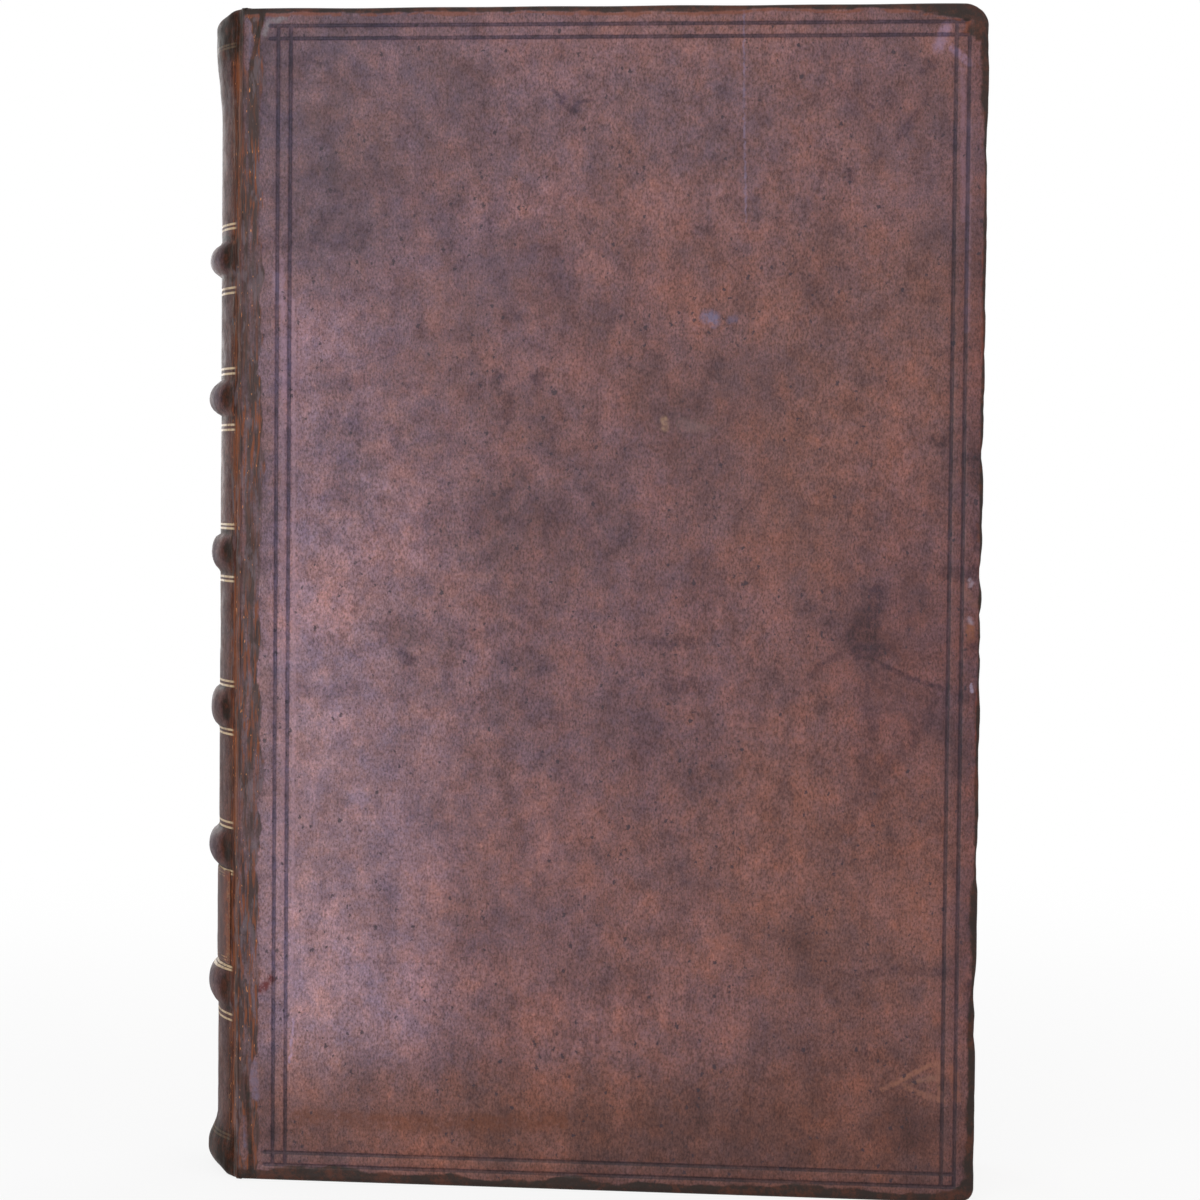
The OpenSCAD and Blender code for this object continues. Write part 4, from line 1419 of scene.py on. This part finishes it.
def make_label(material):
    """The thin dark panel between the two lowest bands, with worn edges and two gilt rules all round."""
    (z0, _, w0), (z1, _, w1) = BANDS[0], BANDS[1]
    low, high = z0 + w0 / 2 + LABEL_MARGIN, z1 - w1 / 2 - LABEL_MARGIN
    thetas = np.linspace(-LABEL_HALF, LABEL_HALF, LABEL_COLUMNS)
    rows = spaced(low, high, 0.5)
    theta, z = np.meshgrid(thetas, rows, indexing="ij")
    at = spot(theta * SKIN_R, 0.0, z)
    around = (LABEL_HALF - np.abs(theta)) * SKIN_R
    above = np.minimum(z - low, high - z)
    to_edge = np.minimum(around, above)
    radius = SKIN_R + GLUE + LABEL_T - 0.03 + 0.02 * ripple(at, 5, 41) - 0.16 * bell(to_edge, 0.35)
    for inset in RULES:
        radius = radius - 0.05 * bell(np.abs(to_edge - inset), 0.25)
    nibble = 0.35 * np.clip(ripple(at, 6, 42), 0, 1)
    z = z + np.where(z > (low + high) / 2, -1, 1) * nibble * bell(above, 0.6)
    x, y = spine_xy(theta, radius)
    grid = spot(x, y, z)
    values = {"edge": to_edge.ravel(), "fade": smooth(around, 8, 0.5).ravel()}
    return grid_piece("label_panel", grid, values, material, True, LABEL_T - SHEET_SLACK)


def label_material():
    """Dark red-brown leather, rubbed, with two gilt rules."""
    t = Tree("label")
    rest = t.own_place()
    clouds = t.noise(rest, 7, 5, 0.6)
    fine = t.noise(rest, 0.8, 4, 0.6)
    colour = t.mix(t.ramp(clouds, 0.35, 0.65), linear((62, 38, 38)), linear((84, 50, 46)))
    colour = t.paint(colour, t.ramp(fine, 0.45, 0.7, 0.0, 0.6), (48, 32, 34))
    fade = t.times(t.attribute("fade"), t.ramp(t.noise(rest, 2.2, 4, 0.65), 0.36, 0.62, 0.1, 0.95))
    colour = t.paint(colour, fade, (122, 68, 46))
    edge = t.attribute("edge")
    first, second = (t.math("ABSOLUTE", t.math("SUBTRACT", edge, inset)) for inset in RULES)
    rule = t.ramp(t.math("MINIMUM", first, second), RULE_HALF, RULE_HALF * 0.6)
    rule = t.times(rule, t.ramp(t.noise(rest, 2.6, 4, 0.7), 0.46, 0.60, 0.0, 0.7))
    colour = t.paint(colour, rule, (176, 138, 100))
    rubbed = t.times(t.ramp(edge, 0.7, 0.1), t.ramp(fine, 0.4, 0.6, 0.2, 1.0))
    colour = t.paint(colour, rubbed, (120, 88, 70))
    return t.finish(colour, 0.5, t.bump(fine, 0.12, 0.7), Specular_IOR_Level=0.1)


# Leaves

# Leaves that are drawn, how many make a gathering, and how far from the shoulders the inner ones turn out
LEAF_COLUMNS = 221
GATHERING = 11
FLARE_TURN = 10.0


def leaf_number(u):
    """Which leaf a place across the thickness belongs to; u runs from -1 to 1."""
    return np.rint((u + 1) / 2 * (LEAF_COLUMNS - 1)).astype(int)


def make_leaves(material):
    """All the leaves: rounded back with shoulders, hollow fore-edge, and each leaf a little out of line."""
    low_z, high_z = LEAVES_LOW[2], LEAVES_HIGH[2]
    fore_x = LEAVES_HIGH[0]
    half, shoulder_half = LEAVES_HALF, LEAVES_HIGH[1]
    arc = SPINE_X - LEAVES_LOW[0]
    fore_centre = fore_x + math.sqrt(arc ** 2 - half ** 2)
    columns = np.linspace(-1, 1, LEAF_COLUMNS)
    span = fore_x - SHOULDER_X
    # stops from the spine to the fore-edge and from tail to head, closest where the form turns
    near = np.array([0, 0.4, 0.8, 1.3, 2, 3, 4.5, 6.5, 9, 12, 16, 21, 28])
    far = np.array([24, 15, 9, 5, 2.5, 1, 0.4, 0])
    stops = np.concatenate([near, np.linspace(36, span - 34, 14), span - far]) / span
    rows = np.concatenate([[0, 0.4, 1.2, 3], np.linspace(8, high_z - low_z - 8, 34),
                           high_z - low_z - np.array([3, 1.2, 0.4, 0])]) / (high_z - low_z)
    # how far short of the others each leaf is, and how brown
    rng = np.random.default_rng(51)
    jog = rng.uniform(0, 1, LEAF_COLUMNS)
    gathering = np.arange(LEAF_COLUMNS) % GATHERING == 0
    short = 0.02 + 0.10 * jog + 0.10 * gathering
    tone = rng.uniform(0, 1, LEAF_COLUMNS) * 0.7 + 0.3 * rng.uniform(0, 1, LEAF_COLUMNS)

    def place(u, v, w):
        y_spine, y_fore = shoulder_half * u, half * u
        x_spine = SPINE_X - np.sqrt(arc ** 2 - y_spine ** 2)
        x_fore = fore_centre - np.sqrt(arc ** 2 - y_fore ** 2)
        x = x_spine + (x_fore - x_spine) * v
        turn = FLARE_TURN * (1 - np.abs(u)) + 0.15
        flare = smooth(x, SHOULDER_X + turn, SHOULDER_X - 0.1)
        at = spot(x, y_fore, w * (high_z - low_z))
        y = (half + (shoulder_half - half) * flare) * u
        outer = smooth(np.abs(u), 0.96, 1.0)
        y = y + 0.10 * ripple(at, 60, 52) * (1 - outer) * smooth(x, -95, -80)
        lost = short[leaf_number(u)]
        x = x - (v > 0.999) * (lost * 1.4 + 0.10 * (1 + ripple(at, 40, 53)))
        wave = 0.06 * (1 + ripple(at, 30, 54))
        ends = smooth(np.abs(w - 0.5), 0.495, 0.5)
        z = low_z + w * (high_z - low_z) - np.sign(w - 0.5) * ends * (lost + wave)
        return x, y, z

    points, faces, (u, v, w) = lattice(columns, stops, rows, place)
    column = leaf_number(u)
    values = {"leaf": tone[column], "gathering": gathering[column].astype(float),
              "outer": (np.abs(u) > 0.999).astype(float)}
    piece = make_mesh("leaves", points, faces, values)
    piece.data.materials.append(material)
    sharpen(piece, LEAF_SHARP)
    return piece


def leaf_material():
    """Edges of old rag paper, toned by dust, each leaf a little different, with painted shade between the
    gatherings.
    """
    t = Tree("leaf_edges")
    rest = t.own_place()
    leaf = t.attribute("leaf")
    clouds = t.noise(rest, 26, 4, 0.6)
    fine = t.noise(rest, 1.2, 4, 0.65)
    colour = t.mix(leaf, linear((168, 140, 104)), linear((206, 184, 148)))
    colour = t.paint(colour, t.ramp(clouds, 0.40, 0.68, 0.0, 0.65), (136, 108, 80))
    # painted shade in the step between gatherings
    colour = t.paint(colour, t.times(t.attribute("gathering"), 0.55), (92, 72, 54))
    colour = t.paint(colour, t.ramp(fine, 0.52, 0.72, 0.0, 0.45), (112, 88, 66))
    spots = t.ramp(t.cells(rest, 6.5)["Distance"], 0.10, 0.04, 0.0, 0.5)
    colour = t.paint(colour, spots, (104, 66, 44))
    grain = t.plus(t.times(fine, 0.6), t.times(leaf, 0.8))
    return t.finish(colour, 0.85, t.bump(grain, 0.12, 0.8), Specular_IOR_Level=0.2)


# Endpapers

PASTE_MARGIN = 3.5
PASTE_STEP = TURN_IN + 0.3
FLYLEAF_T = 0.16
FOLD_T = 0.06


def paste_depth(a, z, side):
    """Depth of a pastedown's open face: it lies on the board and steps up over the turned-in leather."""
    at = spot(a, 50.0 * side, z)
    to_edge = edge_distance(a, z)
    on_leather = smooth(to_edge, PASTE_STEP + 1.2, PASTE_STEP - 0.6)
    depth = PASTE_BED + PAPER + (COVER_DEPTH - PASTE_BED) * on_leather - 0.03
    depth = depth - 0.03 * (1 + ripple(at, 30, 61 + side)) * 0.6
    # the frayed ends of the cords press through beside the joint
    for middle, _, _ in BANDS:
        lump = bell(np.hypot(a - 11, z - middle), 2.6)
        depth = depth + 0.10 * lump * (1 - on_leather)
    return depth


def paper_values(a, z, xyz):
    """What the endpaper material reads: distance to the head, tail and fore-edge, and a fingered corner."""
    corner = bell(np.hypot(WIDTH - a, z) / 40, 1) * 0.7
    return {"edge": edge_distance(a, z), "joint": a, "soil": corner, "rest": rest_frame(xyz)}


def make_pastedown(side, name, material):
    """The leaf pasted over the board and over the edges of the turned-in leather."""
    a, z = np.meshgrid(spaced(BOARD_EDGE, WIDTH - PASTE_MARGIN, 2.4, [8, 11, 14, 204.5, 206, 207.2, 208.6]),
                       spaced(PASTE_MARGIN, HEIGHT - PASTE_MARGIN, 2.6,
                              [12.8, 14.2, 15.6, HEIGHT - 15.6, HEIGHT - 14.2, HEIGHT - 12.8]), indexing="ij")
    at = spot(a, 9.0 * side, z)
    trim = 0.25 * np.clip(0.6 + ripple(at, 50, 62), 0, 1)
    a = a - smooth(a, WIDTH - PASTE_MARGIN - 1.5, WIDTH - PASTE_MARGIN) * trim
    depth = paste_depth(a, z, side)
    grid = cover_xyz(a, z, depth, side)
    values = paper_values(a.ravel(), z.ravel(), grid.reshape(-1, 3))
    return grid_piece(name, grid, values, material, side < 0, PAPER - SHEET_SLACK)


def make_flyleaf(side, name, material):
    """A free leaf that covers the outer leaf and runs up the shoulder behind the joint."""
    outer = LEAVES_HALF + PAPER
    fore_x = LEAVES_HIGH[0]
    low_z, high_z = LEAVES_LOW[2], LEAVES_HIGH[2]
    shoulder_y = LEAVES_HIGH[1]
    climb = [(SHOULDER_X + PAPER - 0.04, shoulder_y - s) for s in (0.05, 1.2, 2.4, 3.4)]
    flat = [(x, outer - 0.05) for x in spaced(SHOULDER_X + PAPER + 0.5, fore_x, 3.2)]
    stops = climb + [(SHOULDER_X + PAPER + 0.1, outer + 0.15)] + flat
    rows = spaced(low_z, high_z, 3.2)
    xs = np.array([s[0] for s in stops])[:, None] * np.ones(len(rows))
    ys = np.array([s[1] for s in stops])[:, None] * np.ones(len(rows))
    zs = np.ones(len(stops))[:, None] * rows
    at = spot(xs, 0.0, zs)
    on_flat = smooth(xs, SHOULDER_X + 4, SHOULDER_X + 14)
    ys = ys - 0.035 * (1 + ripple(at, 45, 63 + side)) * on_flat
    xs = xs - smooth(xs, fore_x - 3, fore_x) * 0.3 * np.clip(0.5 + ripple(at, 70, 64 + side), 0, 1)
    grid = spot(xs, side * ys, zs)
    a = (xs - HINGE_X).ravel()
    values = paper_values(a, zs.ravel(), grid.reshape(-1, 3))
    return grid_piece(name, grid, values, material, side > 0, FLYLEAF_T)


FOLD_SPINE_X = -101.72
FOLD_COVER_X = -101.46
FOLD_TOP = 27.9
FOLD_ROLL = 0.35


def make_fold(side, name, material):
    """The endpaper where it crosses the joint: up the shoulder, over, and down the board's inner edge."""
    shoulder = [(FOLD_SPINE_X - 0.02, y) for y in (24.2, 25.4, 26.6, 27.4)]
    middle = (FOLD_SPINE_X + FOLD_COVER_X) / 2
    half = (FOLD_COVER_X - FOLD_SPINE_X) / 2
    over = [(middle - half * math.cos(t), FOLD_TOP - FOLD_ROLL + FOLD_ROLL * math.sin(t))
            for t in np.linspace(0, math.pi, 15)]
    board_y = HALF - paste_depth(np.array([BOARD_EDGE]), np.array([HEIGHT / 2]), side)[0]
    down = [(FOLD_COVER_X + 0.02, y) for y in (27.0, 26.2, 25.2, board_y + 0.3)]
    end = [(HINGE_X + BOARD_EDGE + 0.25, board_y + 0.03), (HINGE_X + BOARD_EDGE + 2.5, board_y + 0.02)]
    stops = np.array(shoulder + over + down + end)
    rows = spaced(PASTE_MARGIN + 0.6, HEIGHT - PASTE_MARGIN - 0.6, 4)
    grid = spot(stops[:, :1], side * stops[:, 1:], rows)
    a = (grid[..., 0] - HINGE_X).ravel()
    values = paper_values(a, grid[..., 2].ravel(), grid.reshape(-1, 3))
    return grid_piece(name, grid, values, material, side < 0, FOLD_T)


def paper_material():
    """Old endpaper: foxed, browned where the turned-in leather lies against it."""
    t = Tree("endpaper")
    rest = t.attribute("rest", "Vector")
    clouds = t.noise(rest, 42, 4, 0.6)
    patches = t.noise(rest, 8, 5, 0.6)
    fibres = t.noise(t.vector("MULTIPLY", rest, (1, 1, 0.4)), 0.8, 3, 0.6)
    colour = t.mix(t.ramp(clouds, 0.3, 0.7), linear((222, 206, 172)), linear((204, 182, 142)))
    colour = t.paint(colour, t.ramp(patches, 0.50, 0.72, 0.0, 0.35), (186, 158, 116))
    colour = t.paint(colour, t.ramp(fibres, 0.45, 0.7, 0.0, 0.18), (168, 142, 104))
    edge = t.attribute("edge")
    ragged = t.plus(edge, t.centred(rest, 12, 5, 0.6, 9.0))
    burn = t.ramp(ragged, 18.0, 11.0, 0.0, 0.72)
    colour = t.paint(colour, burn, (150, 108, 70))
    rim = t.ramp(ragged, 7.0, 2.0, 0.0, 0.5)
    colour = t.paint(colour, rim, (112, 78, 54))
    colour = t.paint(colour, t.ramp(t.attribute("joint"), 8.0, 0.0, 0.0, 0.5), (146, 112, 78))
    for size, reach, shade in ((13.0, 0.16, (158, 106, 62)), (5.0, 0.13, (150, 104, 66))):
        cells = t.cells(rest, size)
        present = t.math("LESS_THAN", t.separate("Color", cells["Color"])[1], 0.35)
        foxing = t.times(t.ramp(cells["Distance"], reach, reach * 0.3), present)
        colour = t.paint(colour, t.times(foxing, 0.55), shade)
    soil = t.times(t.attribute("soil"), t.ramp(t.noise(rest, 10, 5, 0.65), 0.35, 0.65))
    colour = t.paint(colour, soil, (128, 104, 78))
    grain = t.plus(fibres, t.times(patches, 1.6))
    return t.finish(colour, 0.82, t.bump(grain, 0.10, 0.7), Specular_IOR_Level=0.22)


# Endbands

ENDBAND_HALF = math.radians(33)
WINDINGS = 46
RING_STEPS = 6
ENDBAND_SIDES = 14


def make_endband(node, name, material):
    """A cord wound with two colours of thread, seen behind the headcap."""
    low, high = box_mm(node)
    middle_z = (low[2] + high[2]) / 2
    radius = (high[2] - low[2]) / 2
    path_r = SPINE_X - low[0] - radius
    steps = WINDINGS * RING_STEPS
    theta = np.linspace(-ENDBAND_HALF, ENDBAND_HALF, steps + 1)
    s = np.arange(steps + 1) / RING_STEPS
    swell = np.abs(np.sin(math.pi * s)) ** 0.7
    ring = radius - 0.16 + 0.15 * swell
    x, y = spine_xy(theta, path_r)
    centres = spot(x, y, middle_z)
    outward = spot(-np.cos(theta), np.sin(theta), 0.0)
    points, faces = tube(centres, outward, np.stack([ring, ring], -1), ENDBAND_SIDES)
    thread = np.repeat(((np.floor(s) % 4) < 2).astype(float), ENDBAND_SIDES)
    groove = np.repeat(1 - swell, ENDBAND_SIDES)
    piece = make_mesh(name, points, faces, {"thread": thread, "groove": groove})
    piece.data.materials.append(material)
    sharpen(piece, CORD_SHARP)
    return piece


def endband_material():
    """Thread in two colours, dusty, with painted shade between the windings."""
    t = Tree("endband_thread")
    rest = t.own_place()
    fine = t.noise(rest, 0.5, 4, 0.65)
    clouds = t.noise(rest, 6, 4, 0.6)
    colour = t.mix(t.attribute("thread"), linear((186, 158, 118)), linear((96, 104, 112)))
    colour = t.paint(colour, t.ramp(clouds, 0.40, 0.65, 0.0, 0.7), (104, 82, 62))
    # painted shade in the grooves between the windings
    colour = t.paint(colour, t.times(t.attribute("groove"), 0.7), (54, 42, 34))
    colour = t.paint(colour, t.ramp(fine, 0.45, 0.7, 0.0, 0.4), (82, 64, 50))
    return t.finish(colour, 0.8, t.bump(fine, 0.12, 0.8), Specular_IOR_Level=0.25)


def dress_nodes():
    """Materials of the pieces whose packed form is right as it is."""
    board = simple_material("pasteboard", (142, 120, 92), 5, 0.22, 0.9, grain=0.25)
    hemp = simple_material("hemp", (150, 128, 92), 1.4, 0.35, 0.85, (1, 1, 3), 0.3)
    slip = simple_material("frayed_cord", (146, 122, 88), 1.1, 0.35, 0.85, (0.4, 1, 2), 0.25)
    lining = simple_material("lining_paper", (188, 166, 128), 9, 0.18, 0.85, grain=0.1)
    thread = simple_material("linen_thread", (176, 156, 120), 0.8, 0.3, 0.8, (1, 1, 1), 0.2)
    kinds = (("_board", board), ("sewing_cord", hemp), ("_slip_", slip), ("spine_lining", lining),
             ("kettle_stitch", thread))
    for name, node in frame["nodes"].items():
        for part, material in kinds:
            if part in name:
                for place in node.material_slots:
                    place.material = material


FLOOR_HALF_M = 6.0


def make_floor():
    """A floor that looks white, with a faint shadow close to the book."""
    half = FLOOR_HALF_M
    corners = [(-half, -half, 0), (half, -half, 0), (half, half, 0), (-half, half, 0)]
    floor = make_mesh("floor", np.array(corners) / MM, [(0, 1, 2, 3)])
    t = Tree("floor")
    path = t.nodes.new("ShaderNodeLightPath")
    seen = t.math("MAXIMUM", path.outputs["Is Camera Ray"], path.outputs["Is Glossy Ray"])
    glow = t.nodes.new("ShaderNodeEmission")
    glow.inputs["Strength"].default_value = 1.0
    place = t.own_place()
    # the shadow shows a little within 0.2 m of the middle, and not at all beyond 0.8 m
    share = t.ramp(t.vector("LENGTH", place), 0.2, 0.8, 0.86, 1.0)
    mixed = t.nodes.new("ShaderNodeMixShader")
    t.put(mixed.inputs[0], t.times(seen, share))
    t.links.new(t.shader.outputs["BSDF"], mixed.inputs[1])
    t.links.new(glow.outputs[0], mixed.inputs[2])
    output = next(n for n in t.nodes if n.type == "OUTPUT_MATERIAL")
    t.links.new(mixed.outputs[0], output.inputs["Surface"])
    floor.data.materials.append(t.finish((0.92, 0.92, 0.92), 0.9))


# How bright the white surroundings are as a source of light
WORLD_LIGHT = 0.36


def make_world():
    """White where the camera or a reflection looks, dimmer as a source of light."""
    world = bpy.data.worlds.new("studio")
    world.use_nodes = True
    bpy.context.scene.world = world
    nodes, links = world.node_tree.nodes, world.node_tree.links
    nodes.clear()
    path = nodes.new("ShaderNodeLightPath")
    seen = path.outputs["Is Camera Ray"]
    for kind in ("Is Glossy Ray", "Is Transmission Ray"):
        either = nodes.new("ShaderNodeMath")
        either.operation = "MAXIMUM"
        links.new(seen, either.inputs[0])
        links.new(path.outputs[kind], either.inputs[1])
        seen = either.outputs[0]
    level = nodes.new("ShaderNodeMapRange")
    level.inputs["To Min"].default_value = WORLD_LIGHT
    level.inputs["To Max"].default_value = 1.0
    links.new(seen, level.inputs["Value"])
    background = nodes.new("ShaderNodeBackground")
    background.inputs["Color"].default_value = (1, 1, 1, 1)
    links.new(level.outputs[0], background.inputs["Strength"])
    output = nodes.new("ShaderNodeOutputWorld")
    links.new(background.outputs[0], output.inputs["Surface"])


# Lamps: name, place, size, power; all of them look at the middle of the book

LAMPS = [
    ("window_left", (-500, -1000, 120), 380, 4.2),
    ("window_front", (-300, -1500, 800), 900, 6.0),
    ("fill_right", (1100, -900, 700), 1000, 3.6),
    ("top", (0, 0, 1500), 900, 2.4),
    ("back_left", (-650, 900, 350), 500, 2.2),
    ("back_right", (700, 1100, 600), 900, 5.0),
]


def make_lamps():
    for name, place, size, power in LAMPS:
        data = bpy.data.lights.new(name, "AREA")
        data.shape = "SQUARE"
        data.size = size * MM
        data.energy = power
        lamp = bpy.data.objects.new(name, data)
        lamp.location = Vector(place) * MM
        aim = Vector((0, 0, HEIGHT * MM / 2)) - lamp.location
        lamp.rotation_euler = aim.to_track_quat("-Z", "Y").to_euler()
        bpy.context.scene.collection.objects.link(lamp)


make_camera()
make_world()
make_lamps()
make_floor()
bpy.context.scene.view_settings.view_transform = "Standard"

calf = calf_material("calf")
spine_calf = calf_material("spine_calf", shine=0.05, gilded=True)
marked_calf = calf_material("marked_calf", marked=True)
for side, side_name in SIDES:
    cover = make_cover(side, f"{side_name}_cover_skin", calf, marked_calf if side < 0 else None)
    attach(cover, f"{side_name}_cover")
    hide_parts(f"{side_name}_cover_leather")
    strip = make_joint(side, f"{side_name}_joint_leather", calf)
    end = (HINGE_X + STRIP_COVER) * MM
    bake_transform(strip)
spine = make_spine(spine_calf)
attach(spine, "book_block")
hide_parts("spine_leather")

label = make_label(label_material())
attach(label, "book_block")
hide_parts("spine_label")

leaves = make_leaves(leaf_material())
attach(leaves, "book_block")
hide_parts("text_block")

paper = paper_material()
for side, side_name in SIDES:
    pastedown = make_pastedown(side, f"{side_name}_pasted_paper", paper)
    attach(pastedown, f"{side_name}_cover")
    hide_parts(f"{side_name}_pastedown")
    flyleaf = make_flyleaf(side, f"{side_name}_free_leaf", paper)
    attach(flyleaf, "book_block")
    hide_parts(f"{side_name}_flyleaf")
    fold = make_fold(side, f"{side_name}_endpaper_fold", paper)
    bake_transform(fold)

thread = endband_material()
for end in ("upper", "lower"):
    band = make_endband(f"{end}_endband", f"{end}_endband_winding", thread)
    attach(band, "book_block")
    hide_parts(f"{end}_endband")
dress_nodes()
